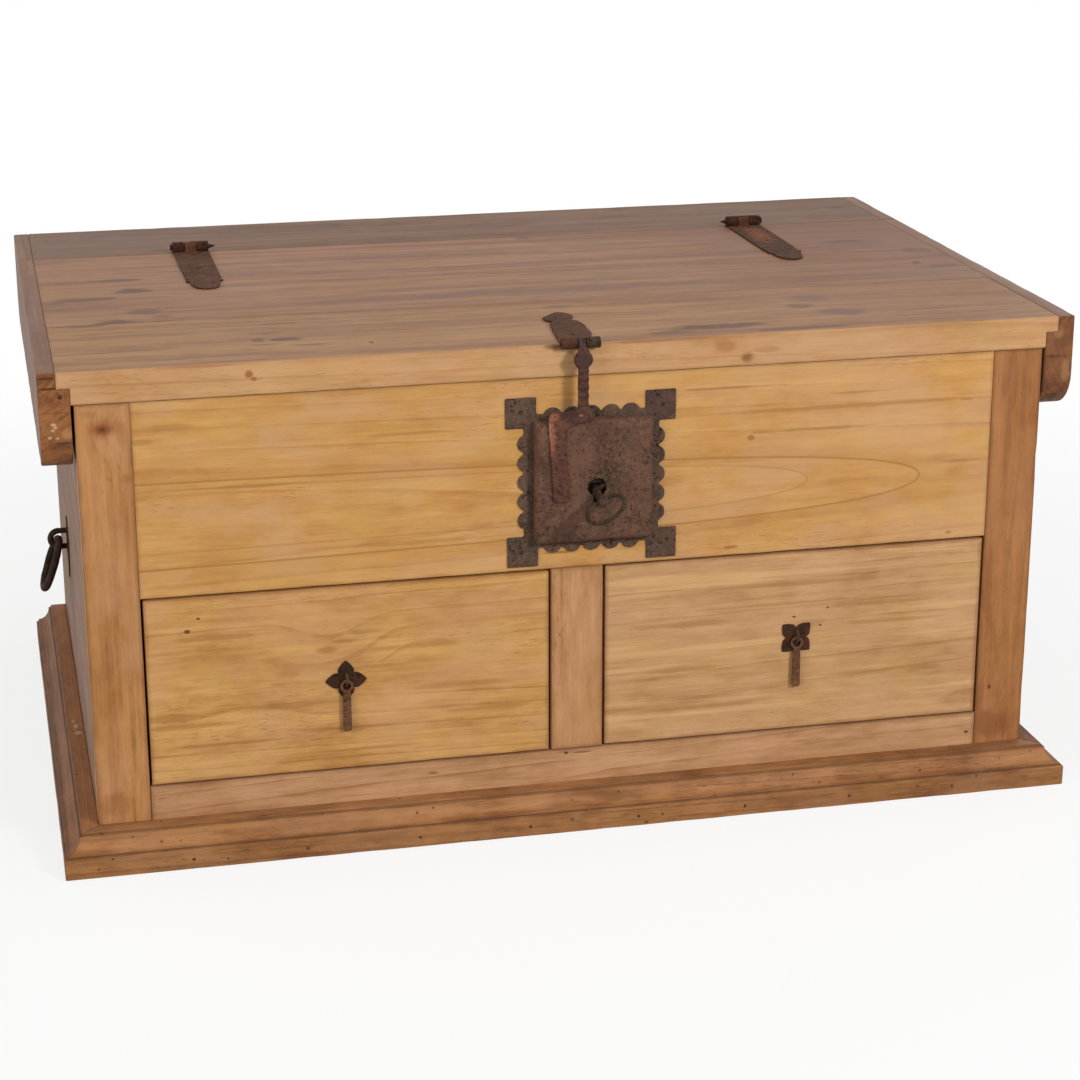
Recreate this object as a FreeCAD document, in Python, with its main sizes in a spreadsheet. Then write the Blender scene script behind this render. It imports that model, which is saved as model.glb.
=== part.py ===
"""Mule chest: a pine box with a hinged lid over two drawers, on a moulded plinth.

Millimetres. +Z is up and -Y is the front. The origin lies on the floor, under the middle
of the whole outline, which runs from the tip of the key to the back of the case.
"""

import FreeCAD, Part

import math
import os

import Sketcher

# ---------------------------------------------------------------- driving sizes

SIZES = {
    # case
    "case_width": 960.0,
    "case_depth": 660.0,
    "top_height": 496.0,
    "post_width": 51.7,
    "front_thick": 24.0,
    "side_thick": 22.0,
    "back_thick": 18.0,
    "stile_width": 53.3,
    "drawer_opening_bottom": 75.5,
    "upper_board_height": 194.4,
    "floor_thick": 16.0,
    "bottom_thick": 16.0,
    # plinth
    "plinth_reach": 35.7,
    "plinth_fascia": 20.8,
    "plinth_quirk": 2.4,
    "plinth_land": 17.5,
    "plinth_height": 40.5,
    "plinth_step": 2.6,
    "plinth_cove": 15.1,
    "plinth_nail_pitch": 112.0,
    # lid and rail
    "lid_thick": 32.0,
    "lid_lip": 2.0,
    "lid_seat_gap": 0.3,
    "lid_joint_back": 512.0,
    "lid_joint_gap": 2.0,
    "lid_front_board_depth": 186.0,
    "lid_middle_board_depth": 171.0,
    "cleat_thick": 29.5,
    "cleat_drop": 97.5,
    "cleat_round": 38.0,
    "cleat_gap": 2.5,
    "tongue_length": 12.5,
    "tongue_thick": 16.0,
    # lid hinges
    "hinge_across": 322.0,
    "hinge_width": 40.0,
    "hinge_barrel": 6.3,
    "hinge_pin": 2.6,
    "hinge_leaf": 2.2,
    "strap_reach": 197.0,
    "strap_ear_at": 150.0,
    "strap_nose": 26.0,
    "strap_nail_near": 24.0,
    "strap_nail_far": 96.0,
    "fixed_leaf_height": 28.0,
    "leaf_nail_across": 11.0,
    "leaf_nail_drop": 16.0,
    "pin_overhang": 1.0,
    "pin_point": 6.8,
    "pin_head": 1.6,
    "pin_fit": 0.06,
    "knuckle_gap": 0.3,
    # lock
    "lock_across": 14.1,
    "lock_above_opening": 90.7,
    "lock_plate": 2.0,
    "lock_plate_body": 135.8,
    "lock_ear": 31.0,
    "lock_ear_reach": 86.4,
    "scallop_radius": 9.3,
    "scallop_pitch": 19.5,
    "scallop_inset": 3.1,
    "box_width": 118.0,
    "box_height": 123.0,
    "box_proud": 14.0,
    "box_wall": 2.0,
    "box_round": 5.0,
    "keyhole_across": 16.2,
    "keyhole_below_lock": 5.5,
    "keyhole_radius": 9.0,
    "keyslot_width": 6.0,
    "keyslot_length": 19.0,
    # key
    "key_reach": 57.0,
    "key_droop": 10.0,
    "key_roll": 30.0,
    "key_shank": 4.0,
    "key_drop_in_hole": 5.2,
    "key_inside": 11.0,
    "bow_ring": 20.0,
    "bow_lobe": 10.0,
    "bow_rod": 2.3,
    "bow_spread": 40.0,
    "bit_reach": 13.0,
    "bit_thick": 4.0,
    "bit_width": 5.0,
    "bit_from_end": 1.2,
    # bolt
    "bolt_height": 11.0,
    "bolt_thick": 3.2,
    "bolt_above_key": 7.8,
    "bolt_left_end": 31.6,
    "bolt_right_end": 46.0,
    "talon_width": 8.8,
    "talon_depth": 6.7,
    "talon_offset": 11.0,
    "guide_width": 4.0,
    "guide_wall": 1.0,
    "guide_from_end": 5.0,
    "guide_from_talon": 1.5,
    "guide_fit": 0.3,
    # hasp
    "hasp_across": 1.5,
    "hasp_axis_front": 8.0,
    "hasp_axis_up": 2.2,
    "hasp_barrel": 5.5,
    "hasp_pin": 2.4,
    "hasp_eye": 7.0,
    "hasp_left_knuckle": 16.2,
    "hasp_right_knuckle": 3.2,
    "hasp_head_radius": 5.8,
    "hasp_head_length": 12.0,
    "hasp_leaf": 2.2,
    "hasp_leaf_lip": 6.0,
    "hasp_leaf_reach": 123.0,
    "hasp_leaf_neck": 90.0,
    "hasp_leaf_side": 21.0,
    "hasp_eye_room": 9.5,
    "hasp_nail_near": 30.0,
    "hasp_nail_far": 104.0,
    "arm_thick": 3.5,
    "arm_gap": 0.3,
    "arm_disc": 10.2,
    "arm_disc_drop": 12.4,
    "arm_neck_width": 10.4,
    "arm_crank_drop": 71.5,
    "arm_foot_drop": 154.0,
    "arm_bar_width": 17.0,
    "arm_bar_top_left": 33.0,
    "arm_bar_foot_left": 28.5,
    "staple_width": 5.0,
    "staple_height": 24.0,
    "staple_depth": 10.5,
    "staple_wall": 2.6,
    "staple_ease": 0.6,
    "staple_across": 20.5,
    "staple_above_lock": 4.0,
    "staple_slot_gap": 1.9,
    # drawers
    "drawer_length": 575.0,
    "drawer_front_thick": 22.0,
    "drawer_side_thick": 14.0,
    "drawer_back_thick": 14.0,
    "drawer_bottom_thick": 8.0,
    "drawer_bottom_rise": 8.0,
    "drawer_side_gap": 2.2,
    "drawer_top_gap": 2.2,
    "drawer_bottom_gap": 1.2,
    "drawer_side_drop": 12.0,
    "runner_past_opening": 18.0,
    "runner_fit": 0.3,
    "guide_height": 26.0,
    # drawer pulls
    "left_pull_in": 5.5,
    "left_pull_down": 2.4,
    "right_pull_out": 1.5,
    "right_pull_up": 3.6,
    "pull_plate": 1.6,
    "pull_tip": 20.6,
    "pull_notch": 9.2,
    "pull_lobe": 11.5,
    "loop_radius": 5.2,
    "loop_wire": 1.2,
    "loop_rise": 2.0,
    "loop_stand": 2.3,
    "eye_ring": 5.2,
    "eye_bar": 1.6,
    "drop_hang": 2.1,
    "drop_length": 52.0,
    "drop_width": 8.4,
    "drop_thick": 3.0,
    # side handles
    "handle_back": 398.0,
    "handle_plate_height": 198.0,
    "handle_plate": 2.0,
    "handle_plate_half": 35.0,
    "handle_plate_side": 22.0,
    "handle_plate_tip": 2.5,
    "handle_staple_rise": 10.0,
    "handle_loop": 9.0,
    "handle_wire": 2.6,
    "handle_stand": 8.0,
    "handle_bar_drop": 1.8,
    "ring_radius": 28.0,
    "ring_bar": 4.2,
    "ring_lean": 20.0,
    # nails
    "nail_head": 2.6,
    "nail_shank": 1.3,
    "nail_length": 14.0,
    "nail_head_thick": 1.0,
    "plinth_nail_head": 1.8,
    "cleat_nail_in": 9.0,
    "cleat_nail_drop": 23.0,
}


class Size:
    """A length that knows both its number and the sheet's expression for it."""

    def __init__(self, text, value):
        self.text = text
        self.value = value

    @staticmethod
    def of(thing):
        return thing if isinstance(thing, Size) else Size(repr(float(thing)), float(thing))

    def _join(self, sign, other, value):
        return Size(f"({self.text} {sign} {other.text})", value)

    def __add__(self, other):
        other = Size.of(other)
        return self._join("+", other, self.value + other.value)

    def __sub__(self, other):
        other = Size.of(other)
        return self._join("-", other, self.value - other.value)

    def __mul__(self, other):
        other = Size.of(other)
        return self._join("*", other, self.value * other.value)

    def __truediv__(self, other):
        other = Size.of(other)
        return self._join("/", other, self.value / other.value)

    def __radd__(self, other):
        return Size.of(other) + self

    def __rsub__(self, other):
        return Size.of(other) - self

    def __rmul__(self, other):
        return Size.of(other) * self

    def __neg__(self):
        return Size(f"(-1 * {self.text})", -self.value)


def cosine(angle):
    return Size(f"cos({angle.text} * 1 deg)", math.cos(math.radians(angle.value)))


def sine(angle):
    return Size(f"sin({angle.text} * 1 deg)", math.sin(math.radians(angle.value)))


def root(area):
    return Size(f"sqrt({area.text})", math.sqrt(area.value))


class Dims:
    """The sheet's sizes by name, as Size values."""


def make_sheet(doc):
    sheet = doc.addObject("Spreadsheet::Sheet", "Dims")
    for row, (name, value) in enumerate(SIZES.items(), 1):
        sheet.set(f"A{row}", name)
        sheet.set(f"B{row}", str(value))
        sheet.setAlias(f"B{row}", name)
        setattr(Dims, name, Size(f"Dims.{name}", value))


doc = FreeCAD.newDocument("mule_chest")
make_sheet(doc)
doc.recompute()
D = Dims
parts = []

# ---------------------------------------------------------------- places shared by many parts

front = (D.lock_plate + D.box_proud + D.key_reach - D.case_depth) / 2
back = front + D.case_depth
half_case = D.case_width / 2
lid_under = D.top_height - D.lid_thick
case_top = lid_under - D.lid_seat_gap
post_inner = half_case - D.post_width
side_inner = half_case - D.side_thick
inner_back = back - D.back_thick
inner_front = front + D.front_thick
opening_top = case_top - D.upper_board_height
floor_under = opening_top
lock_z = opening_top + D.lock_above_opening
keyhole_z = lock_z - D.keyhole_below_lock
staple_z = lock_z + D.staple_above_lock
bottom_under = D.plinth_height
bottom_top = bottom_under + D.bottom_thick
joint = front + D.lid_joint_back
lid_back = joint - D.lid_joint_gap / 2
rail_front = joint + D.lid_joint_gap / 2
lid_front = front - D.lid_lip
tongue_end = half_case + D.cleat_gap + D.tongue_length
shoulder = half_case + D.cleat_gap
cleat_outer = shoulder + D.cleat_thick
plate_face = front - D.lock_plate
box_face = plate_face - D.box_proud

# ---------------------------------------------------------------- helpers


def bind(thing, prop, size):
    """Tie a property to the sheet, or just set it when the size is a plain number."""
    thing.setExpression(prop, Size.of(size).text)


def put(thing, x=0, y=0, z=0, axis=(0, 0, 1), angle=0):
    """Place a sub-part at a point of the row frame, turned about an axis of its own."""
    thing.Placement = FreeCAD.Placement(
        FreeCAD.Vector(*(Size.of(size).value for size in (x, y, z))),
        FreeCAD.Rotation(FreeCAD.Vector(*axis), Size.of(angle).value),
    )
    for letter, size in zip("xyz", (x, y, z)):
        bind(thing, f"Placement.Base.{letter}", size)
    if isinstance(angle, Size):
        bind(thing, "Placement.Rotation.Angle", angle)
    return thing


def keep(thing, label):
    """Enter a finished sub-part under its own name."""
    thing.Label = label
    parts.append(thing)
    return thing


def box(length, width, height, x, y, z):
    """A board or block with its lowest corner at a point."""
    block = doc.addObject("Part::Box", "Block")
    for prop, size in zip(("Length", "Width", "Height"), (length, width, height)):
        bind(block, prop, size)
    return put(block, x, y, z)


def board(label, x_range, y_range, z_range):
    """A square-edged board between two planes on each axis."""
    (x0, x1), (y0, y1), (z0, z1) = x_range, y_range, z_range
    return keep(box(x1 - x0, y1 - y0, z1 - z0, x0, y0, z0), label)


def cylinder(radius, height, x, y, z, axis=(0, 0, 1), angle=0):
    rod = doc.addObject("Part::Cylinder", "Rod")
    bind(rod, "Radius", radius)
    bind(rod, "Height", height)
    return put(rod, x, y, z, axis, angle)


def along_x(radius, length, x, y, z):
    """A rod that starts at a point and runs towards +X."""
    return cylinder(radius, length, x, y, z, (0, 1, 0), 90)


def along_y(radius, length, x, y, z):
    """A rod that starts at a point and runs towards +Y."""
    return cylinder(radius, length, x, y, z, (1, 0, 0), -90)


def torus(ring, bar, x, y, z, axis=(0, 0, 1), angle=0):
    tube = doc.addObject("Part::Torus", "Ring")
    bind(tube, "Radius1", ring)
    bind(tube, "Radius2", bar)
    return put(tube, x, y, z, axis, angle)


def fuse(*pieces):
    joined = doc.addObject("Part::MultiFuse", "Joined")
    joined.Shapes = list(pieces)
    joined.Refine = True
    return joined


def group(*pieces):
    """Separate solids that share one node."""
    together = doc.addObject("Part::Compound", "Group")
    together.Links = list(pieces)
    return together


def cut(base, *tools):
    result = doc.addObject("Part::Cut", "Pierced")
    result.Base = base
    result.Tool = tools[0] if len(tools) == 1 else fuse(*tools)
    return result


def body_of(label):
    return keep(doc.addObject("PartDesign::Body", "Body"), label)


def origin_plane(body, role):
    return next(plane for plane in body.Origin.OriginFeatures if plane.Role == role)


def sketch_on(body, role):
    sketch = body.newObject("Sketcher::SketchObject", "Sketch")
    sketch.AttachmentSupport = (origin_plane(body, role), [""])
    sketch.MapMode = "FlatFace"
    return sketch


def arc_between(start, end, radius, turn):
    """The short arc between two points, its centre to the left (+1) or the right (-1)."""
    chord = end - start
    reach = math.sqrt(max(radius**2 - (chord.Length / 2) ** 2, 0.0))
    side = FreeCAD.Vector(-chord.y, chord.x, 0).normalize()
    centre = (start + end) * 0.5 + side * reach * turn
    first, last = (start, end) if turn > 0 else (end, start)
    angles = [math.atan2(p.y - centre.y, p.x - centre.x) for p in (first, last)]
    circle = Part.Circle(centre, FreeCAD.Vector(0, 0, 1), radius)
    return Part.ArcOfCircle(circle, angles[0], angles[1])


def pin_point(sketch, edge, end, x, y):
    """Hold one end of an edge at a distance from the sketch's origin on each axis."""
    for kind, axis, size in (("DistanceX", -2, x), ("DistanceY", -1, y)):
        size = Size.of(size)
        if size.value == 0:
            sketch.addConstraint(Sketcher.Constraint("PointOnObject", edge, end, axis))
            continue
        row = sketch.addConstraint(Sketcher.Constraint(kind, -1, 1, edge, end, size.value))
        bind(sketch, f"Constraints[{row}]", size)


def outline(sketch, corners):
    """Draw a closed outline through corners (x, y), or (x, y, radius, turn) where an arc starts."""
    points = [FreeCAD.Vector(Size.of(c[0]).value, Size.of(c[1]).value, 0) for c in corners]
    ends = []
    for place, corner in enumerate(corners):
        start, end = points[place], points[(place + 1) % len(points)]
        if len(corner) == 2:
            edge = sketch.addGeometry(Part.LineSegment(start, end), False)
            ends.append((edge, 1, 2))
            continue
        radius, turn = Size.of(corner[2]), corner[3]
        edge = sketch.addGeometry(arc_between(start, end, radius.value, turn), False)
        row = sketch.addConstraint(Sketcher.Constraint("Radius", edge, radius.value))
        bind(sketch, f"Constraints[{row}]", radius)
        ends.append((edge, 1, 2) if turn > 0 else (edge, 2, 1))
    for (edge, _, last), (after, first, _) in zip(ends, ends[1:] + ends[:1]):
        sketch.addConstraint(Sketcher.Constraint("Coincident", edge, last, after, first))
    for (edge, first, _), corner in zip(ends, corners):
        pin_point(sketch, edge, first, corner[0], corner[1])
    return sketch


def pad(body, sketch, length, middle=False, reverse=False):
    feature = body.newObject("PartDesign::Pad", "Pad")
    feature.Profile = sketch
    bind(feature, "Length", length)
    feature.Midplane = middle
    feature.Reversed = reverse
    body.Tip = feature
    return feature


def pocket_through(body, sketch):
    """Cut a sketch out of the body, all the way through on both sides."""
    feature = body.newObject("PartDesign::Pocket", "Pocket")
    feature.Profile = sketch
    feature.Type = "ThroughAll"
    feature.Midplane = True
    body.Tip = feature
    return feature


def nail(x, y, z, axis=(0, 0, 1), angle=0):
    """A nail with its head's underside at a point, the shank running against its own +Z."""
    head = cylinder(D.nail_head, D.nail_head_thick, 0, 0, 0)
    shank = cylinder(D.nail_shank, D.nail_length, 0, 0, -D.nail_length)
    return put(fuse(head, shank), x, y, z, axis, angle)


def nail_hole(x, y, z, axis=(0, 0, 1), angle=0):
    """The room that a nail's shank takes below its head."""
    shank = cylinder(D.nail_shank, D.nail_length, 0, 0, -D.nail_length)
    return put(group(shank), x, y, z, axis, angle)


FACING_FRONT = ((1, 0, 0), 90)

# ---------------------------------------------------------------- nails that pierce the wood

strap_nails = [
    (side * D.hinge_across, joint - row, D.top_height + D.hinge_leaf)
    for side in (-1, 1)
    for row in (D.strap_nail_near, D.strap_nail_far)
]
leaf_nails = [
    (side * D.hinge_across + across * D.leaf_nail_across, rail_front, D.top_height - D.leaf_nail_drop)
    for side in (-1, 1)
    for across in (-1, 1)
]
hasp_nails = [
    (D.hasp_across, lid_front + row, D.top_height + D.hasp_leaf)
    for row in (D.hasp_nail_near, D.hasp_nail_far)
]
ear_middle = D.lock_ear_reach - D.lock_ear / 2
lock_nails = [
    (D.lock_across + across * ear_middle, plate_face, lock_z + up * ear_middle)
    for across in (-1, 1)
    for up in (-1, 1)
]
cleat_nail = (-shoulder - D.cleat_nail_in, lid_front, D.top_height - D.cleat_nail_drop)

# ---------------------------------------------------------------- case


def case_boards():
    full_height = (Size.of(0), case_top)
    front_skin = (front, inner_front)
    board("front_left_post", (-half_case, -post_inner), front_skin, full_height)
    board("front_right_post", (post_inner, half_case), front_skin, full_height)
    upper_front_board()
    opening = (D.drawer_opening_bottom, opening_top)
    board("centre_stile", (-D.stile_width / 2, D.stile_width / 2), front_skin, opening)
    rail_height = (Size.of(0), D.drawer_opening_bottom)
    board("bottom_rail", (-post_inner, post_inner), front_skin, rail_height)
    for name, side in (("left_side_panel", -1), ("right_side_panel", 1)):
        side_panel(name, side)
    between = (-side_inner, side_inner)
    board("back_panel", between, (inner_back, back), full_height)
    inside = (inner_front, inner_back)
    board("compartment_floor", between, inside, (floor_under, floor_under + D.floor_thick))
    board("bottom_board", between, inside, (bottom_under, bottom_top))


def upper_front_board():
    blank = box(
        2 * post_inner,
        D.front_thick,
        case_top - opening_top,
        -post_inner,
        front,
        opening_top,
    )
    holes = [nail_hole(*place, *FACING_FRONT) for place in lock_nails]
    keep(cut(blank, *holes), "upper_front_board")


def side_panel(name, side):
    """A side panel, pierced for the two legs of its handle's staple."""
    low = -half_case if side < 0 else side_inner
    blank = box(D.side_thick, back - inner_front, case_top, low, inner_front, 0)
    legs = [
        along_x(D.handle_wire, D.side_thick + 2, low - 1, handle_y, handle_z + up * D.handle_loop)
        for up in (-1, 1)
    ]
    keep(cut(blank, *legs), name)


# ---------------------------------------------------------------- drawer runners and guides


def runners_and_guides():
    run = inner_back - inner_front
    base = bottom_top
    height = D.drawer_opening_bottom - base
    wide = side_inner - post_inner + D.runner_past_opening
    lefts = (-side_inner, side_inner - wide)
    sides = [box(wide, run, height, x, inner_front, base) for x in lefts]
    keep(group(*sides), "side_runners")
    centre_wide = D.stile_width + 2 * D.runner_past_opening
    keep(box(centre_wide, run, height, -centre_wide / 2, inner_front, base), "centre_runner")
    guide_wide = side_inner - post_inner - D.runner_fit
    top = D.drawer_opening_bottom
    lefts = (-side_inner, side_inner - guide_wide)
    guides = [box(guide_wide, run, D.guide_height, x, inner_front, top) for x in lefts]
    keep(group(*guides), "side_guides")
    centre = D.stile_width - 2 * D.runner_fit
    keep(box(centre, run, D.guide_height, -centre / 2, inner_front, top), "centre_guide")


# ---------------------------------------------------------------- plinth


def plinth_profile():
    """The moulding's section: distance out of the case against height."""
    shelf = D.plinth_reach - D.plinth_step
    cove_top = D.plinth_land + D.plinth_step
    cove_low = D.plinth_fascia + D.plinth_quirk
    cove_high = D.plinth_height - D.plinth_step
    return [
        (0, 0),
        (-D.plinth_reach, 0),
        (-D.plinth_reach, D.plinth_fascia),
        (-shelf, D.plinth_fascia),
        (-shelf, cove_low, D.plinth_cove, 1),
        (-cove_top, cove_high),
        (-D.plinth_land, cove_high),
        (-D.plinth_land, D.plinth_height),
        (0, D.plinth_height),
    ]


def plinth_piece(label, length, mitre_start, mitre_end, place, turn):
    """A length of moulding along +X, facing -Y, with a mitre at either end."""
    body = body_of(label)
    start = -D.plinth_reach if mitre_start else Size.of(0)
    end = length + D.plinth_reach if mitre_end else length
    pad(body, outline(sketch_on(body, "YZ_Plane"), plinth_profile()), end)
    tail = body.newObject("PartDesign::Pad", "Tail") if mitre_start else None
    if tail:
        tail.Profile = outline(sketch_on(body, "YZ_Plane"), plinth_profile())
        bind(tail, "Length", -start)
        tail.Reversed = True
        body.Tip = tail
    beyond = D.plinth_reach * 2
    for mitred, at, way in ((mitre_start, Size.of(0), -1), (mitre_end, length, 1)):
        if mitred:
            corner = [(at, 0), (at + way * beyond, -beyond), (at + way * beyond, 0)]
            pocket_through(body, outline(sketch_on(body, "XY_Plane"), corner[::way]))
    return put(body, *place, (0, 0, 1), turn)


def plinth():
    plinth_piece("plinth_front", D.case_width, True, True, (-half_case, front, 0), 0)
    plinth_piece("plinth_left", D.case_depth, False, True, (-half_case, back, 0), -90)
    plinth_piece("plinth_right", D.case_depth, True, False, (half_case, front, 0), 90)
    heads = []
    count = int(D.case_width.value // D.plinth_nail_pitch.value)
    for step in range(count):
        x = (step - (count - 1) / 2) * D.plinth_nail_pitch
        y = front - D.plinth_reach - D.nail_head_thick
        heads.append(along_y(D.plinth_nail_head, D.nail_head_thick, x, y, D.plinth_fascia / 2))
    keep(group(*heads), "plinth_nails")


# ---------------------------------------------------------------- lid and fixed rail


def tongued_board(label, y_range, holes=()):
    """A top board: its upper half runs past the shoulders as a tongue at each end."""
    y0, y1 = y_range
    z0 = lid_under
    z1 = D.top_height - D.tongue_thick
    lower = box(2 * shoulder, y1 - y0, D.lid_thick, -shoulder, y0, z0)
    upper = box(2 * tongue_end, y1 - y0, D.tongue_thick, -tongue_end, y0, z1)
    solid = fuse(lower, upper)
    keep(cut(solid, *holes) if holes else solid, label)


def cleat(label, side, y_range, round_at_back, holes=()):
    """A thick end board, notched for the tongue, with one lower corner rounded."""
    y0, y1 = y_range
    body = doc.addObject("PartDesign::Body", "Cleat")
    low = D.top_height - D.cleat_drop
    step = D.top_height - D.tongue_thick
    r = D.cleat_round
    if round_at_back:
        side_view = [(y0, low), (y1 - r, low, r, 1), (y1, low + r), (y1, D.top_height), (y0, D.top_height)]
    else:
        side_view = [(y0 + r, low), (y1, low), (y1, D.top_height), (y0, D.top_height), (y0, low + r, r, 1)]
    pad(body, outline(sketch_on(body, "YZ_Plane"), side_view), D.cleat_thick)
    inner, outer = (D.cleat_thick, D.cleat_thick - D.tongue_length) if side < 0 else (0, D.tongue_length)
    above = D.top_height + 5
    notch = [(inner, step), (outer, step), (outer, above), (inner, above)]
    pocket_through(body, outline(sketch_on(body, "XZ_Plane"), notch))
    put(body, -cleat_outer if side < 0 else shoulder, 0, 0)
    keep(cut(body, *holes) if holes else body, label)


def top_boards():
    first = lid_front + D.lid_front_board_depth
    second = first + D.lid_middle_board_depth
    hasp_holes = [nail_hole(x, y, D.top_height) for x, y, _ in hasp_nails]
    front_row = [hole for hole, (_, y, _) in zip(hasp_holes, hasp_nails) if y.value < first.value]
    tongued_board("lid_front_board", (lid_front, first), front_row)
    tongued_board("lid_middle_board", (first, second))
    strap_holes = [nail_hole(x, y, D.top_height) for x, y, _ in strap_nails]
    tongued_board("lid_rear_board", (second, lid_back), strap_holes)
    cleat("lid_left_cleat", -1, (lid_front, lid_back), False, [nail_hole(*cleat_nail, *FACING_FRONT)])
    cleat("lid_right_cleat", 1, (lid_front, lid_back), False)
    rear_rail()
    for name, side in (("rail_left_end", -1), ("rail_right_end", 1)):
        cleat(name, side, (rail_front, back), True)


def rear_rail():
    """The fixed rear board of the top, let in for the hinges' fixed leaves."""
    sinks = []
    for side in (-1, 1):
        x = side * D.hinge_across - D.hinge_width / 2
        z = D.top_height - D.fixed_leaf_height
        sinks.append(box(D.hinge_width, D.hinge_leaf, D.fixed_leaf_height + 1, x, rail_front, z))
    sunk = [nail_hole(x, y + D.hinge_leaf, z, *FACING_FRONT) for x, y, z in leaf_nails]
    tongued_board("rear_rail", (rail_front, back), sinks + sunk)


# ---------------------------------------------------------------- lid hinges

hinge_z = D.top_height + D.hinge_barrel
knuckle = (D.hinge_width - 2 * D.knuckle_gap) / 3


def strap_outline():
    """The strap from the barrel to its eared, rounded tip, seen from above."""
    half = D.hinge_width / 2
    ear = -D.strap_ear_at
    edge = [(half, 0), (half - 1, ear + 3), (half - 4, ear - 2), (half + 0.5, ear - 8)]
    neck = (half - 4.5, ear - 11)
    nose = [(*neck, D.strap_nose, -1), (0, -D.strap_reach, D.strap_nose, -1)]
    return edge + nose + [(-x, y) for x, y in [neck, *edge[::-1]]]


def lid_hinge(name, side):
    """The moving half: a strap on the lid that rolls into the middle knuckle."""
    x = side * D.hinge_across
    leaf = doc.addObject("PartDesign::Body", "Strap")
    pad(leaf, outline(sketch_on(leaf, "XY_Plane"), strap_outline()), D.hinge_leaf)
    put(leaf, x, joint, D.top_height)
    barrel = along_x(D.hinge_barrel, knuckle, x - knuckle / 2, joint, hinge_z)
    over = D.hinge_width + 4
    low = D.top_height - 1
    bore = along_x(D.hinge_pin + D.pin_fit, over, x - over / 2, joint, hinge_z)
    beside = (over - knuckle) / 2
    reach = D.hinge_barrel + D.knuckle_gap
    clear = [
        box(beside, 2 * reach, D.hinge_leaf + 2, start, joint - reach, low)
        for start in (x - over / 2, x + knuckle / 2)
    ]
    clear.append(box(over, 2 * reach, D.hinge_leaf + 2, x - over / 2, joint, low))
    holes = [nail_hole(*place) for place in strap_nails if (place[0].value > 0) == (side > 0)]
    keep(cut(fuse(cut(leaf, *clear), barrel), bore, *holes), name)


def fixed_leaf(side):
    """The fixed half: a plate let into the rail, with the two outer knuckles."""
    x = side * D.hinge_across
    half = D.hinge_width / 2
    under = D.top_height - D.fixed_leaf_height
    plate = box(D.hinge_width, D.hinge_leaf, D.fixed_leaf_height, x - half, rail_front, under)
    neck = box(D.hinge_width, D.hinge_leaf, D.hinge_barrel, x - half, rail_front, D.top_height)
    outer = [
        along_x(D.hinge_barrel, knuckle, x + (half - knuckle if end > 0 else -half), joint, hinge_z)
        for end in (-1, 1)
    ]
    middle = box(
        knuckle + 2 * D.knuckle_gap,
        2 * D.hinge_barrel,
        D.hinge_barrel + 1,
        x - knuckle / 2 - D.knuckle_gap,
        joint,
        D.top_height - D.knuckle_gap,
    )
    bore = along_x(D.hinge_pin, D.hinge_width + 4, x - half - 2, joint, hinge_z)
    holes = [
        nail_hole(px, py, pz, *FACING_FRONT)
        for px, py, pz in leaf_nails
        if (px.value > 0) == (side > 0)
    ]
    return cut(fuse(cut(fuse(plate, neck), middle), *outer), bore, *holes)


def hinge_pin(side, point_side):
    """A forged nail used as a hinge pin: its point sticks out of one end."""
    x = side * D.hinge_across
    half = D.hinge_width / 2 + D.pin_overhang
    rod = along_x(D.hinge_pin, 2 * half, x - half, joint, hinge_z)
    cone = doc.addObject("Part::Cone", "Point")
    bind(cone, "Radius1", D.hinge_pin)
    bind(cone, "Radius2", D.hinge_pin / 6)
    bind(cone, "Height", D.pin_point)
    put(cone, x + point_side * half, joint, hinge_z, (0, 1, 0), 90 * point_side)
    head_x = x - half - D.pin_head if point_side > 0 else x + half
    head = along_x(1.7 * D.hinge_pin, D.pin_head, head_x, joint, hinge_z)
    return fuse(rod, cone, head)


def lid_hinges():
    lid_hinge("left_strap", -1)
    lid_hinge("right_strap", 1)
    keep(group(fixed_leaf(-1), fixed_leaf(1)), "hinge_fixed_leaves")
    keep(group(hinge_pin(-1, 1), hinge_pin(1, -1)), "hinge_pins")


# ---------------------------------------------------------------- hasp

hasp_y = front - D.hasp_axis_front
hasp_z = D.top_height + D.hasp_axis_up
arm_back = box_face - D.arm_gap
eye_left = D.hasp_across - D.hasp_eye / 2
eye_right = D.hasp_across + D.hasp_eye / 2
leaf_left = eye_left - D.knuckle_gap - D.hasp_left_knuckle
leaf_right = eye_right + D.knuckle_gap + D.hasp_right_knuckle


def hasp_leaf_outline():
    """An uneven body, a pinched neck and a rounded head, seen from above."""
    x0 = leaf_left - D.hasp_across
    x1 = leaf_right - D.hasp_across
    side = D.hasp_leaf_side
    neck = D.hasp_leaf_neck
    return [
        (x0, -D.hasp_leaf_lip),
        (x1, -D.hasp_leaf_lip),
        (x1, -1.5),
        (x1 + 7.0, 8.0),
        (side - 1.0, 32.0),
        (side, 67.0),
        (side - 2.5, neck - 6.0),
        (side - 7.5, neck),
        (side - 5.0, neck + 8.0, 30.0, 1),
        (4.0, D.hasp_leaf_reach, 16.0, 1),
        (-side + 8.0, neck + 14.0),
        (-side + 8.5, neck + 2.0),
        (-side + 15.5, neck - 3.0),
        (-side + 10.0, neck - 10.0),
        (-side + 6.5, 54.0),
    ]


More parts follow.
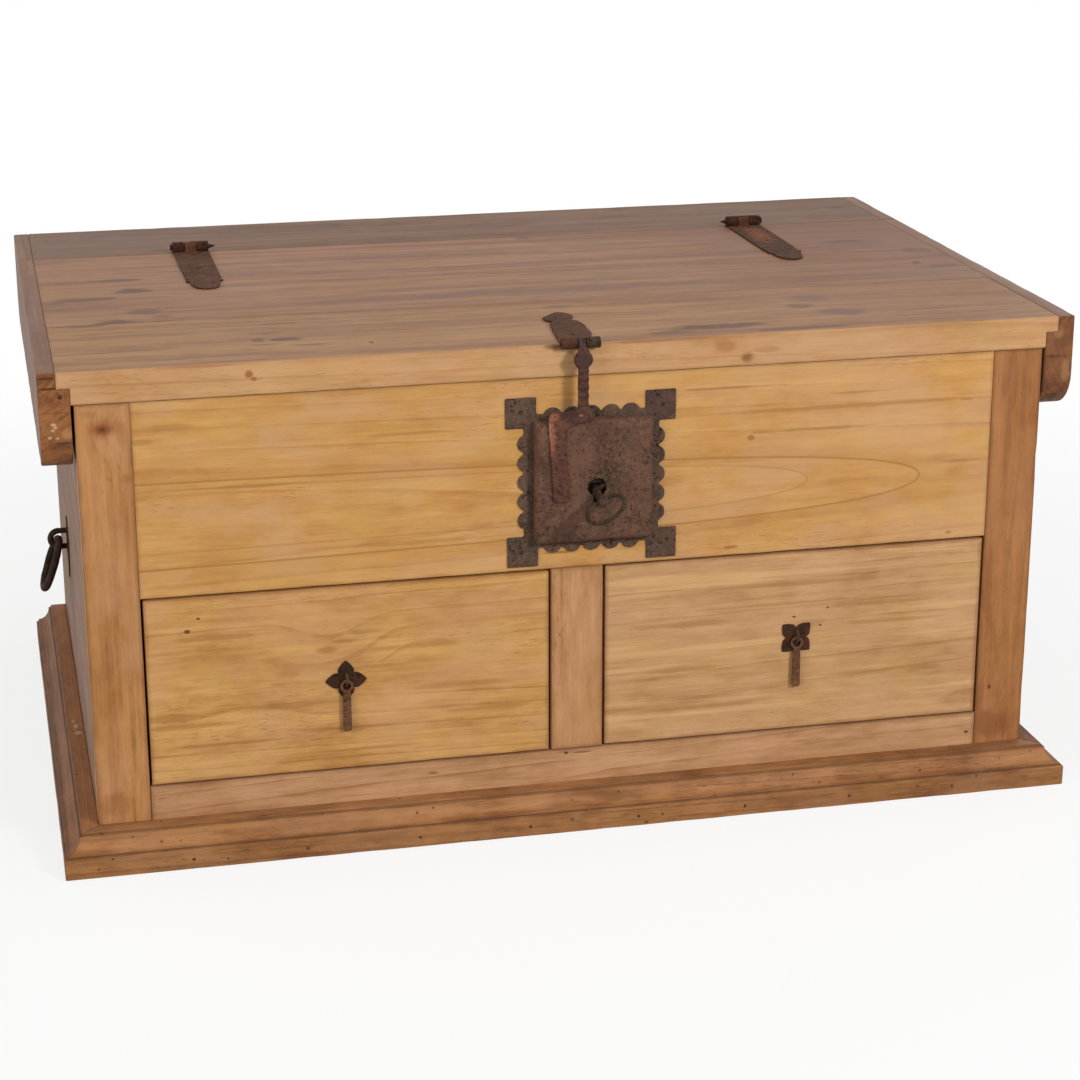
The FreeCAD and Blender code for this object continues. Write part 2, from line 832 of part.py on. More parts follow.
def hasp_leaf():
    """The leaf nailed on the lid, which rolls into two knuckles over the lid's front edge."""
    body = doc.addObject("PartDesign::Body", "Leaf")
    pad(body, outline(sketch_on(body, "XY_Plane"), hasp_leaf_outline()), D.hasp_leaf)
    put(body, D.hasp_across, front, D.top_height)
    left = along_x(D.hasp_barrel, D.hasp_left_knuckle, leaf_left, hasp_y, hasp_z)
    right_start = leaf_right - D.hasp_right_knuckle
    right = along_x(D.hasp_barrel, D.hasp_right_knuckle, right_start, hasp_y, hasp_z)
    wide = D.hasp_eye + 2 * D.knuckle_gap
    room_y = hasp_y - D.hasp_barrel - D.knuckle_gap
    deep = hasp_y + D.hasp_eye_room - room_y
    room = box(wide, deep, D.hasp_leaf + 2, eye_left - D.knuckle_gap, room_y, D.top_height - 1)
    bore = along_x(D.hasp_pin, leaf_right - leaf_left + 2, leaf_left - 1, hasp_y, hasp_z)
    holes = [nail_hole(*place) for place in hasp_nails]
    keep(cut(fuse(cut(body, room), left, right), bore, *holes), "hasp_leaf")


def hasp_pin():
    start = leaf_left - D.pin_overhang
    head_x = leaf_right + D.knuckle_gap
    rod = along_x(D.hasp_pin, head_x - start, start, hasp_y, hasp_z)
    head = along_x(D.hasp_head_radius, D.hasp_head_length, head_x, hasp_y, hasp_z)
    keep(fuse(rod, head), "hasp_pin")


def arm_plate_outline():
    """The flat arm seen from the front: neck, crank to the left and the wide leaning bar."""
    x = D.hasp_across
    half = D.arm_neck_width / 2
    top = D.top_height - D.arm_disc_drop
    crank = D.top_height - D.arm_crank_drop
    foot = D.top_height - D.arm_foot_drop
    wide = D.arm_bar_width
    return [
        (x - half, top),
        (x - half, crank + 8.0),
        (-D.arm_bar_top_left + 3.0, crank + 7.0),
        (-D.arm_bar_top_left, crank + 3.0),
        (-D.arm_bar_foot_left, foot),
        (-D.arm_bar_foot_left + wide, foot),
        (-D.arm_bar_top_left + wide - 0.5, crank - 7.0),
        (x + half + 3.0, crank - 4.0),
        (x + half + 4.0, crank + 2.0),
        (x + half, crank + 12.0),
        (x + half, top),
    ]


def hasp_arm():
    """The swinging half: an eye round the pin, a disc, the cranked bar and its staple."""
    plate = doc.addObject("PartDesign::Body", "ArmPlate")
    pad(plate, outline(sketch_on(plate, "XZ_Plane"), arm_plate_outline()), D.arm_thick)
    put(plate, 0, arm_back, 0)
    disc_z = D.top_height - D.arm_disc_drop
    arm_front = arm_back - D.arm_thick
    disc = along_y(D.arm_disc, D.arm_thick, D.hasp_across, arm_front, disc_z)
    eye = along_x(D.hasp_barrel, D.hasp_eye, eye_left, hasp_y, hasp_z)
    neck = doc.addObject("PartDesign::Body", "Neck")
    shoulder_line = [
        (arm_front, disc_z + 1),
        (arm_front, disc_z + 8.5),
        (hasp_y - 1.0, hasp_z + D.hasp_barrel),
        (hasp_y - D.hasp_barrel, hasp_z),
        (arm_back, disc_z + 6.0),
        (arm_back, disc_z + 1),
    ]
    pad(neck, outline(sketch_on(neck, "YZ_Plane"), shoulder_line[::-1]), D.hasp_eye)
    put(neck, eye_left, 0, 0)
    bore = along_x(D.hasp_pin + D.pin_fit, D.hasp_eye + 2, eye_left - 1, hasp_y, hasp_z)
    keep(cut(fuse(plate, disc, neck, eye, arm_staple()), bore), "hasp_arm")


def arm_staple():
    """The eye on the arm's back that enters the lock box and takes the bolt."""
    x = -D.staple_across - D.staple_width / 2
    low = staple_z - D.staple_height / 2
    depth = D.arm_gap + D.staple_depth
    block = box(D.staple_width, depth + 0.5, D.staple_height, x, arm_back - 0.5, low)
    hole = box(
        D.staple_width + 2,
        D.staple_depth - D.staple_wall - D.box_wall + D.staple_ease,
        D.staple_height - 2 * D.staple_wall,
        x - 1,
        box_face + D.box_wall - D.staple_ease,
        low + D.staple_wall,
    )
    return cut(block, hole)


# ---------------------------------------------------------------- lock


def lock_plate():
    """The thin back plate: scalloped sides between four square ears."""
    x, z = D.lock_across, lock_z
    half = D.lock_plate_body / 2
    y = plate_face
    pieces = [box(2 * half, D.lock_plate, 2 * half, x - half, y, z - half)]
    rim = half - D.scallop_inset
    for step in range(-2, 3):
        run = step * D.scallop_pitch
        for across, up in ((run, rim), (run, -rim), (rim, run), (-rim, run)):
            pieces.append(along_y(D.scallop_radius, D.lock_plate, x + across, y, z + up))
    ear = D.lock_ear / 2
    for across, up in ((-1, -1), (-1, 1), (1, -1), (1, 1)):
        low_x = x + across * ear_middle - ear
        pieces.append(box(D.lock_ear, D.lock_plate, D.lock_ear, low_x, y, z + up * ear_middle - ear))
    holes = [nail_hole(*place, *FACING_FRONT) for place in lock_nails]
    keep(cut(fuse(*pieces), *holes), "lock_plate")


def lock_box():
    """The pillow-shaped cover, open at the back, with a keyhole and a slot for the staple.

    The slot runs out at the top, so that the staple can swing up and out with the lid.
    """
    body = doc.addObject("PartDesign::Body", "BoxShell")
    w, h = D.box_width / 2, D.box_height / 2
    rectangle = [(-w, -h), (w, -h), (w, h), (-w, h)]
    block = pad(body, outline(sketch_on(body, "XZ_Plane"), rectangle), D.box_proud)
    doc.recompute()
    rim = [
        f"Edge{number}"
        for number, edge in enumerate(block.Shape.Edges, 1)
        if abs(edge.CenterOfMass.y) > 0.3 * D.box_proud.value
    ]
    soften = body.newObject("PartDesign::Fillet", "Soften")
    soften.Base = (block, rim)
    bind(soften, "Radius", D.box_round)
    body.Tip = soften
    put(body, D.lock_across, plate_face, lock_z)
    t = D.box_wall
    hollow = box(
        D.box_width - 2 * t,
        D.box_proud - t,
        D.box_height - 2 * t,
        D.lock_across - w + t,
        box_face + t,
        lock_z - h + t,
    )
    round_part = along_y(D.keyhole_radius, 2 * t + 1, D.keyhole_across, box_face - 1, keyhole_z)
    slot = box(
        D.keyslot_width,
        2 * t + 1,
        D.keyslot_length,
        D.keyhole_across - D.keyslot_width / 2,
        box_face - 1,
        keyhole_z - D.keyslot_length,
    )
    gap = D.staple_slot_gap
    slot_wide = D.staple_width + 2 * gap
    slot_low = staple_z - D.staple_height / 2 - gap
    slot_high = lock_z + h + 1
    slot_x = -D.staple_across - slot_wide / 2
    staple_slot = box(slot_wide, 2 * t + 1, slot_high - slot_low, slot_x, box_face - 1, slot_low)
    keep(cut(body, hollow, round_part, slot, staple_slot), "lock_box")


def lock_bolt():
    """The sliding bar, with a talon notch under it for the key's bit, in its two guides."""
    left = D.keyhole_across - D.bolt_left_end
    length = D.bolt_left_end + D.bolt_right_end
    low = key_inner_z + D.bolt_above_key
    y = box_face + D.box_wall + D.guide_wall + 2 * D.guide_fit
    bar = box(length, D.bolt_thick, D.bolt_height, left, y, low)
    notch_x = D.keyhole_across + D.talon_offset - D.talon_width / 2
    notch = box(D.talon_width, D.bolt_thick + 2, D.talon_depth + 1, notch_x, y - 1, low - 1)
    keep(cut(bar, notch), "lock_bolt")
    places = (left + D.guide_from_end, notch_x + D.talon_width + D.guide_from_talon)
    keep(group(*(bolt_guide(x, y, low) for x in places)), "bolt_guides")


def bolt_guide(x, y, low):
    """A bridge on the lock plate that the bolt runs through."""
    fit = D.guide_fit
    wall = D.guide_wall
    deep = plate_face - y + fit + wall
    high = D.bolt_height + 2 * (fit + wall)
    block = box(D.guide_width, deep, high, x, y - fit - wall, low - fit - wall)
    opening_deep = D.bolt_thick + 2 * fit
    opening_high = D.bolt_height + 2 * fit
    opening = box(D.guide_width + 2, opening_deep, opening_high, x - 1, y - fit, low - fit)
    return cut(block, opening)


# ---------------------------------------------------------------- key
# The key's own frame: +X runs out along the shank from the box's face, +Z is across the bow.

stem_z = keyhole_z - D.key_drop_in_hole
key_out = D.key_reach / cosine(D.key_droop)
key_inner_z = stem_z + (D.key_inside - D.bit_from_end - D.bit_width / 2) * sine(D.key_droop)


def key():
    ring_centre = key_out - D.bow_ring - D.bow_rod
    lobe_x = ring_centre - (D.bow_ring - D.bow_lobe) * cosine(D.bow_spread)
    lobe_z = (D.bow_ring - D.bow_lobe) * sine(D.bow_spread)
    cusp = lobe_x - root(D.bow_lobe * D.bow_lobe - lobe_z * lobe_z)
    shank = along_x(D.key_shank, cusp + D.key_inside + 1, -D.key_inside, 0, 0)
    collar = doc.addObject("Part::Sphere", "Collar")
    bind(collar, "Radius", D.key_shank * 1.15)
    put(collar, cusp + 1, 0, 0)
    bit = box(
        D.bit_width,
        D.bit_thick,
        D.bit_reach - 1,
        -D.key_inside + D.bit_from_end,
        -D.bit_thick / 2,
        1,
    )
    whole = fuse(shank, collar, bit, key_bow(ring_centre, lobe_x, lobe_z, cusp))
    down = FreeCAD.Rotation(FreeCAD.Vector(0, 0, 1), -90)
    droop = FreeCAD.Rotation(FreeCAD.Vector(0, 1, 0), D.key_droop.value)
    roll = FreeCAD.Rotation(FreeCAD.Vector(1, 0, 0), -(90 - D.key_roll.value))
    whole.Placement = FreeCAD.Placement(FreeCAD.Vector(), down * droop * roll)
    for letter, size in zip("xyz", (D.keyhole_across, box_face, stem_z)):
        bind(whole, f"Placement.Base.{letter}", size)
    keep(whole, "key")


def key_bow(ring_centre, lobe_x, lobe_z, cusp):
    """A heart-shaped loop of rod: a wide far arc and two lobes that meet at the shank."""
    centre = FreeCAD.Vector(ring_centre.value, 0, 0)
    lobe = FreeCAD.Vector(lobe_x.value, 0, lobe_z.value)
    outward = (lobe - centre).normalize()
    tip = centre + FreeCAD.Vector(D.bow_ring.value, 0, 0)
    meet = centre + outward * D.bow_ring.value
    dent = FreeCAD.Vector(cusp.value, 0, 0)
    spread = math.pi - math.radians(D.bow_spread.value)
    half_way = centre + FreeCAD.Vector(math.cos(spread / 2), 0, math.sin(spread / 2)) * D.bow_ring.value
    bend = (meet - lobe).normalize() + (dent - lobe).normalize()
    round_lobe = lobe + bend.normalize() * D.bow_lobe.value
    path = Part.Wire(
        [
            Part.Arc(tip, half_way, meet).toShape(),
            Part.Arc(meet, round_lobe, dent).toShape(),
        ]
    )
    section = Part.Wire([Part.Circle(tip, FreeCAD.Vector(0, 0, 1), D.bow_rod.value).toShape()])
    half = path.makePipeShell([section], True, False)
    other = half.mirror(FreeCAD.Vector(0, 0, 0), FreeCAD.Vector(0, 0, 1))
    bow = doc.addObject("Part::Feature", "Bow")
    bow.Shape = half.fuse(other).removeSplitter()
    return bow


# ---------------------------------------------------------------- drawers


def drawer(side, hand):
    """Front, two sides, back and bottom of one drawer; hand names it."""
    outer = post_inner - D.drawer_side_gap
    inner = D.stile_width / 2 + D.drawer_side_gap
    x0, x1 = (-outer, -inner) if side < 0 else (inner, outer)
    low = D.drawer_opening_bottom + D.drawer_bottom_gap
    high = opening_top - D.drawer_top_gap
    pull_x, pull_z = pull_place(side)
    face_back = front + D.drawer_front_thick
    blank = box(x1 - x0, D.drawer_front_thick, high - low, x0, front, low)
    loop_z = pull_z + D.loop_rise
    legs = [
        along_y(D.loop_wire, D.drawer_front_thick + 2, pull_x, front - 1, loop_z + up * D.loop_radius)
        for up in (-1, 1)
    ]
    keep(cut(blank, *legs), f"{hand}_drawer_front")
    rest = D.drawer_opening_bottom + D.runner_fit
    side_top = high - D.drawer_side_drop
    end = front + D.drawer_length
    t = D.drawer_side_thick
    board(f"{hand}_drawer_left_side", (x0, x0 + t), (face_back, end), (rest, side_top))
    board(f"{hand}_drawer_right_side", (x1 - t, x1), (face_back, end), (rest, side_top))
    back_from = end - D.drawer_back_thick
    board(f"{hand}_drawer_back", (x0 + t, x1 - t), (back_from, end), (rest, side_top))
    tray = rest + D.drawer_bottom_rise
    tray_z = (tray, tray + D.drawer_bottom_thick)
    board(f"{hand}_drawer_bottom", (x0 + t, x1 - t), (face_back, back_from), tray_z)


def pull_place(side):
    """Centre of a pull's plate on its drawer's face, as (x, z)."""
    across = (post_inner + D.stile_width / 2) / 2
    up = (D.drawer_opening_bottom + opening_top) / 2
    if side < 0:
        return -across - D.left_pull_in, up - D.left_pull_down
    return across + D.right_pull_out, up + D.right_pull_up


def pull_plate_outline():
    """Four pointed lobes, each made of two arcs that meet in a tip."""
    n = D.pull_notch * cosine(Size.of(45))
    t = D.pull_tip
    r = D.pull_lobe
    quarter = [(t, 0), (n, n)]
    corners = []
    for turn in range(4):
        for x, y in quarter:
            for _ in range(turn):
                x, y = -y, x
            corners.append((x, y, r, 1))
    return corners


def pull(side, hand, turned):
    """The plate, the cotter whose loop stands out of it, and the iron drop."""
    x, z = pull_place(side)
    loop_z = z + D.loop_rise
    plate = doc.addObject("PartDesign::Body", "PullPlate")
    pad(plate, outline(sketch_on(plate, "XZ_Plane"), pull_plate_outline()), D.pull_plate)
    put(plate, x, front, z, (0, 1, 0), turned)
    face = front - D.pull_plate
    legs = [
        along_y(D.loop_wire, D.pull_plate + 2, x, face - 1, loop_z + up * D.loop_radius)
        for up in (-1, 1)
    ]
    keep(cut(plate, *legs), f"{hand}_pull_plate")
    keep(wire_loop(x, face, loop_z), f"{hand}_pull_cotter")
    keep(drop(x, face, loop_z), f"{hand}_pull_drop")


def wire_loop(x, face, z):
    """A cotter: half a ring in front of the plate and two legs through the drawer's front."""
    out = face - D.loop_stand
    ring = torus(D.loop_radius, D.loop_wire, x, out, z, (0, 1, 0), 90)
    half = box(20, 20, 40, x - 10, out, z - 20)
    reach = D.loop_stand + D.pull_plate + D.drawer_front_thick
    legs = [
        along_y(D.loop_wire, reach, x, out, z + up * D.loop_radius) for up in (-1, 1)
    ]
    return fuse(cut(ring, half), *legs)


def drop(x, face, loop_z):
    """The hanging bar: an eye round the cotter's loop and a bar that widens downwards."""
    y = face - D.loop_stand
    top = loop_z - D.drop_hang
    eye_z = top - D.eye_ring
    eye = torus(D.eye_ring, D.eye_bar, x, y, eye_z, (1, 0, 0), 90)
    bar = doc.addObject("PartDesign::Body", "Bar")
    foot = top - D.drop_length
    neck = eye_z - D.eye_ring
    w = D.drop_width / 2
    shape = [
        (-w + 1.0, foot),
        (w - 1.0, foot),
        (w, foot + 2.0),
        (w - 0.4, neck - 4.0),
        (w - 0.8, neck + 0.6),
        (-w + 0.8, neck + 0.6),
        (-w + 0.4, neck - 4.0),
        (-w, foot + 2.0),
    ]
    pad(bar, outline(sketch_on(bar, "XZ_Plane"), shape), D.drop_thick, middle=True)
    put(bar, x, y, 0)
    return fuse(eye, bar)


# ---------------------------------------------------------------- side handles

handle_y = front + D.handle_back
handle_z = D.handle_plate_height + D.handle_staple_rise


def side_handles():
    plates = [handle_plate(side) for side in (-1, 1)]
    keep(group(*plates), "handle_plates")
    staples = [handle_staple(side) for side in (-1, 1)]
    keep(group(*staples), "handle_staples")
    for name, side in (("left_ring", -1), ("right_ring", 1)):
        x = side * (half_case + D.handle_plate + D.handle_stand)
        z = handle_z - D.handle_bar_drop
        ring = torus(D.ring_radius, D.ring_bar, 0, 0, 0)
        ring_x = x + side * D.ring_radius * sine(D.ring_lean)
        ring_z = z - D.ring_radius * cosine(D.ring_lean)
        put(ring, ring_x, handle_y, ring_z, (0, 1, 0), 90 - side * D.ring_lean)
        keep(ring, name)


def handle_plate(side):
    """A lozenge with slightly hollow sides, tall way up, against the side panel."""
    a, b = D.handle_plate_side, D.handle_plate_half
    tip = D.handle_plate_tip
    shape = [(a, -tip), (a, tip), (tip, b), (-tip, b), (-a, tip), (-a, -tip), (-tip, -b), (tip, -b)]
    body = doc.addObject("PartDesign::Body", "HandlePlate")
    pad(body, outline(sketch_on(body, "YZ_Plane"), shape), D.handle_plate)
    x = -half_case - D.handle_plate if side < 0 else half_case
    put(body, x, handle_y, D.handle_plate_height)
    legs = [
        along_x(D.handle_wire, D.handle_plate + 2, x - 1, handle_y, handle_z + up * D.handle_loop)
        for up in (-1, 1)
    ]
    return cut(body, *legs)


def handle_staple(side):
    """Half a ring standing out of the plate, with two legs through the side panel."""
    out = side * (half_case + D.handle_plate + D.handle_stand)
    ring = torus(D.handle_loop, D.handle_wire, out, handle_y, handle_z, (1, 0, 0), 90)
    inner = out - 40 if side > 0 else out
    inward = box(40, 40, 60, inner, handle_y - 20, handle_z - 30)
    reach = D.handle_stand + D.handle_plate + D.side_thick
    start = out - reach if side > 0 else out
    legs = [
        along_x(D.handle_wire, reach, start, handle_y, handle_z + up * D.handle_loop)
        for up in (-1, 1)
    ]
    return fuse(cut(ring, inward), *legs)


# ---------------------------------------------------------------- nails


def nails():
    tops = [nail(*place) for place in strap_nails + hasp_nails]
    keep(group(*tops, nail(*cleat_nail, *FACING_FRONT)), "lid_nails")
    fronts = [nail(*place, *FACING_FRONT) for place in lock_nails + leaf_nails]
    keep(group(*fronts), "case_nails")


# ---------------------------------------------------------------- build and write


def check_and_write():
    doc.recompute()
    for thing in doc.Objects:
        assert not {"Invalid", "Error"} & set(thing.State), f"{thing.Label}: {thing.State}"
    labels = [thing.Label for thing in parts]
    assert len(labels) == len(set(labels)) <= 60, "labels repeat or are too many"
    for thing in parts:
        shape = thing.Shape
        assert not shape.isNull() and shape.isValid() and shape.Solids, thing.Label
        assert shape.Volume > 0, thing.Label
    os.makedirs("parts", exist_ok=True)
    for thing in parts:
        thing.Shape.exportStep(f"parts/{thing.Label}.step")
    print(len(parts), "sub-parts")


case_boards()
runners_and_guides()
plinth()
top_boards()
lid_hinges()
hasp_leaf()
hasp_pin()
hasp_arm()
lock_plate()
lock_box()
lock_bolt()
key()
for side, hand, turned in ((-1, "left", 0), (1, "right", 45)):
    drawer(side, hand)
    pull(side, hand, turned)
side_handles()
nails()
check_and_write()
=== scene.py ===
"""A pine mule chest with forged ironwork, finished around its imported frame.

+Z is up and -Y is the front. Places and sizes of pieces are in millimetres and become
metres by MM. Marks on a finish, and the two faces they lie on, are in metres.
"""

import math
import random

import bmesh
import bpy
from mathutils import Matrix, Vector, noise


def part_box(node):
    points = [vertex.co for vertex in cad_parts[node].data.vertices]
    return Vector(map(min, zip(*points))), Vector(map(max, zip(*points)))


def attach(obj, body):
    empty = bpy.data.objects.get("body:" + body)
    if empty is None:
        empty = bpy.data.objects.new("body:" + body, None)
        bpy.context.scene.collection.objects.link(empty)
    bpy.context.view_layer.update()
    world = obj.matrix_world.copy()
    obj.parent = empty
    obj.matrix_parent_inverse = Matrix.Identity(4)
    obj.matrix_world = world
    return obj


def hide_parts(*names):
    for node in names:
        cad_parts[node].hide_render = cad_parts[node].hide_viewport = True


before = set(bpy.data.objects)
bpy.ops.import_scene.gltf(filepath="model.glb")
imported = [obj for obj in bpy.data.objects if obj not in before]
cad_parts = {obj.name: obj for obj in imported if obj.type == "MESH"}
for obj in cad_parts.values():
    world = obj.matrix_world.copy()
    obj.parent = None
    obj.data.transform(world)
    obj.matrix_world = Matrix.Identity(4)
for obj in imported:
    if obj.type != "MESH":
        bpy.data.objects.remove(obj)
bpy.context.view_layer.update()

MM = 0.001
AXES = "xyz"
FULL_TURN = 2 * math.pi
CASE_FRONT = -293.5
TOP = 496.0
LID_TONGUE = 12.5
LID_HALF = 16.0
CLEAT_ROUND = 38.0
PLINTH_REACH = 35.7
LOCK_CENTRE = (14.1, 360.0)
PLATE_FACE = CASE_FRONT - 2.0
BOX_FACE = CASE_FRONT - 16.0
BOX_HALF_WIDE, BOX_HALF_HIGH = 59.0, 61.5
HINGE_X = 322.0
HINGE_PIN = (218.5, 502.3)
HINGE_BARREL = (218.5, 502.2)
HASP_PIN = (-301.5, 498.2)
ARC_STEPS = 8
CASE_FACE = -0.2935
PROUD_FACE = -0.2955
RAW_PINE = ((0.62, 0.43, 0.235), (0.44, 0.265, 0.120))

# ---------------------------------------------------------------- shader arithmetic


class Wire:
    """A socket of a finish. Arithmetic on it adds Math nodes."""

    def __init__(self, finish, socket):
        self.finish = finish
        self.socket = socket

    def math(self, operation, *terms):
        return self.finish.node("Math", {"operation": operation}, dict(enumerate(terms)))

    def __add__(self, other):
        return self.math("ADD", self, other)

    def __radd__(self, other):
        return self.math("ADD", other, self)

    def __sub__(self, other):
        return self.math("SUBTRACT", self, other)

    def __rsub__(self, other):
        return self.math("SUBTRACT", other, self)

    def __mul__(self, other):
        return self.math("MULTIPLY", self, other)

    def __rmul__(self, other):
        return self.math("MULTIPLY", other, self)

    def __truediv__(self, other):
        return self.math("DIVIDE", self, other)

    def __pow__(self, other):
        return self.math("POWER", self, other)


class Finish:
    """One node-built material, written as expressions."""

    def __init__(self, name):
        self.material = bpy.data.materials.new(name)
        self.material.use_nodes = True
        self.tree = self.material.node_tree
        self.shader = self.tree.nodes["Principled BSDF"]
        self.place = self.node("TexCoord", out="Object")

    def node(self, kind, settings=None, sockets=None, out=0):
        """Adds a node: its settings first, then what feeds its sockets."""
        made = self.tree.nodes.new("ShaderNode" + kind)
        for key, value in (settings or {}).items():
            if key == "stops":
                self.set_stops(made.color_ramp, value)
            else:
                setattr(made, key, value)
        for key, value in (sockets or {}).items():
            self.feed(made.inputs[key], value)
        return Wire(self, made.outputs[out])

    def set_stops(self, ramp, stops):
        for _ in stops[2:]:
            ramp.elements.new(1.0)
        for element, (at, colour) in zip(ramp.elements, stops):
            element.position = at
            element.color = (*colour, 1)

    def feed(self, socket, value):
        if isinstance(value, Wire):
            self.tree.links.new(value.socket, socket)
        elif isinstance(value, tuple) and len(value) == 3 and socket.type == "RGBA":
            socket.default_value = (*value, 1)
        else:
            socket.default_value = value

    def noise(self, where, scale, detail=2.0, roughness=0.5):
        sockets = {"Vector": where, "Scale": scale, "Detail": detail, "Roughness": roughness}
        return self.node("TexNoise", None, sockets)

    def sway(self, where, scale, detail=2.0):
        """Noise about zero, from -0.5 to 0.5."""
        return self.noise(where, scale, detail) - 0.5

    def cells(self, where, scale, out="Distance"):
        return self.node("TexVoronoi", {}, {"Vector": where, "Scale": scale}, out=out)

    def step(self, value, start, end):
        """0 below start and 1 above end, smooth between."""
        settings = {"interpolation_type": "SMOOTHSTEP"}
        if start <= end:
            return self.node("MapRange", settings, {0: value, 1: start, 2: end})
        return self.node("MapRange", settings, {0: value, 1: end, 2: start, 3: 1.0, 4: 0.0})

    def vector(self, operation, one, other, out=0):
        return self.node("VectorMath", {"operation": operation}, {0: one, 1: other}, out=out)

    def length(self, where):
        return self.node("VectorMath", {"operation": "LENGTH"}, {0: where}, out="Value")

    def parts(self, where):
        split = self.tree.nodes.new("ShaderNodeSeparateXYZ")
        self.feed(split.inputs[0], where)
        return [Wire(self, socket) for socket in split.outputs]

    def mix(self, amount, one, other, blend="MIX"):
        settings = {"data_type": "RGBA", "blend_type": blend, "clamp_factor": True}
        return self.node("Mix", settings, {0: amount, 6: one, 7: other}, out=2)

    def bump(self, height, distance, strength=1.0):
        sockets = {"Height": height, "Distance": distance, "Strength": strength}
        return self.node("Bump", None, sockets)

    def finish(self, **sockets):
        names = {"colour": "Base Color", "rough": "Roughness", "metal": "Metallic", "normal": "Normal"}
        for key, value in sockets.items():
            self.feed(self.shader.inputs[names[key]], value)
        return self.material


# ---------------------------------------------------------------- wood


def shade(colour, share):
    """A colour, lighter or darker by a share."""
    return tuple(value * share for value in colour)


def away_from(f, axes, a, c, long, wide):
    """How far a point of a board's face is from a place, in lengths along and widths across."""
    along, across, _ = axes
    centre = [0.0, 0.0, 0.0]
    centre[along] = a
    centre[across] = c
    share = [0.0, 0.0, 0.0]
    share[along] = 1 / long
    share[across] = 1 / wide
    away = f.vector("MULTIPLY", f.vector("SUBTRACT", f.place, tuple(centre)), tuple(share))
    return f.length(away)


def smudge_mask(f, smudges, axes, ragged):
    """The darkest of several soft, ragged-edged stains."""
    total = None
    for a, c, long, wide, strength in smudges:
        away = away_from(f, axes, a, c, long, wide)
        mask = f.step(away + ragged * 1.5, 1.15, 0.45) * strength
        total = mask if total is None else total.math("MAXIMUM", total, mask)
    return total


def spot_masks(f, spots, ragged):
    """Each spot's mask and tint: an ellipsoid about a place, with a ragged edge."""
    for x, y, z, rx, ry, rz, strength, tint in spots:
        away = f.vector("SUBTRACT", f.place, (x, y, z))
        away = f.vector("MULTIPLY", away, (1 / rx, 1 / ry, 1 / rz))
        yield f.step(f.length(away) + ragged * 1.5, 1.15, 0.45) * strength, tint


def tongue(a, c, wobble, tip, level, blunt, straight):
    """Signed distance from a growth ring's long tongue, whose tip points along the board."""
    behind = (tip - a).math("MAXIMUM", tip - a, -0.02)
    aside = c - level + wobble
    spread = aside * aside - behind * blunt / (behind / straight + 1.0)
    return spread / (aside * aside * 4.0 + blunt * blunt) ** 0.5


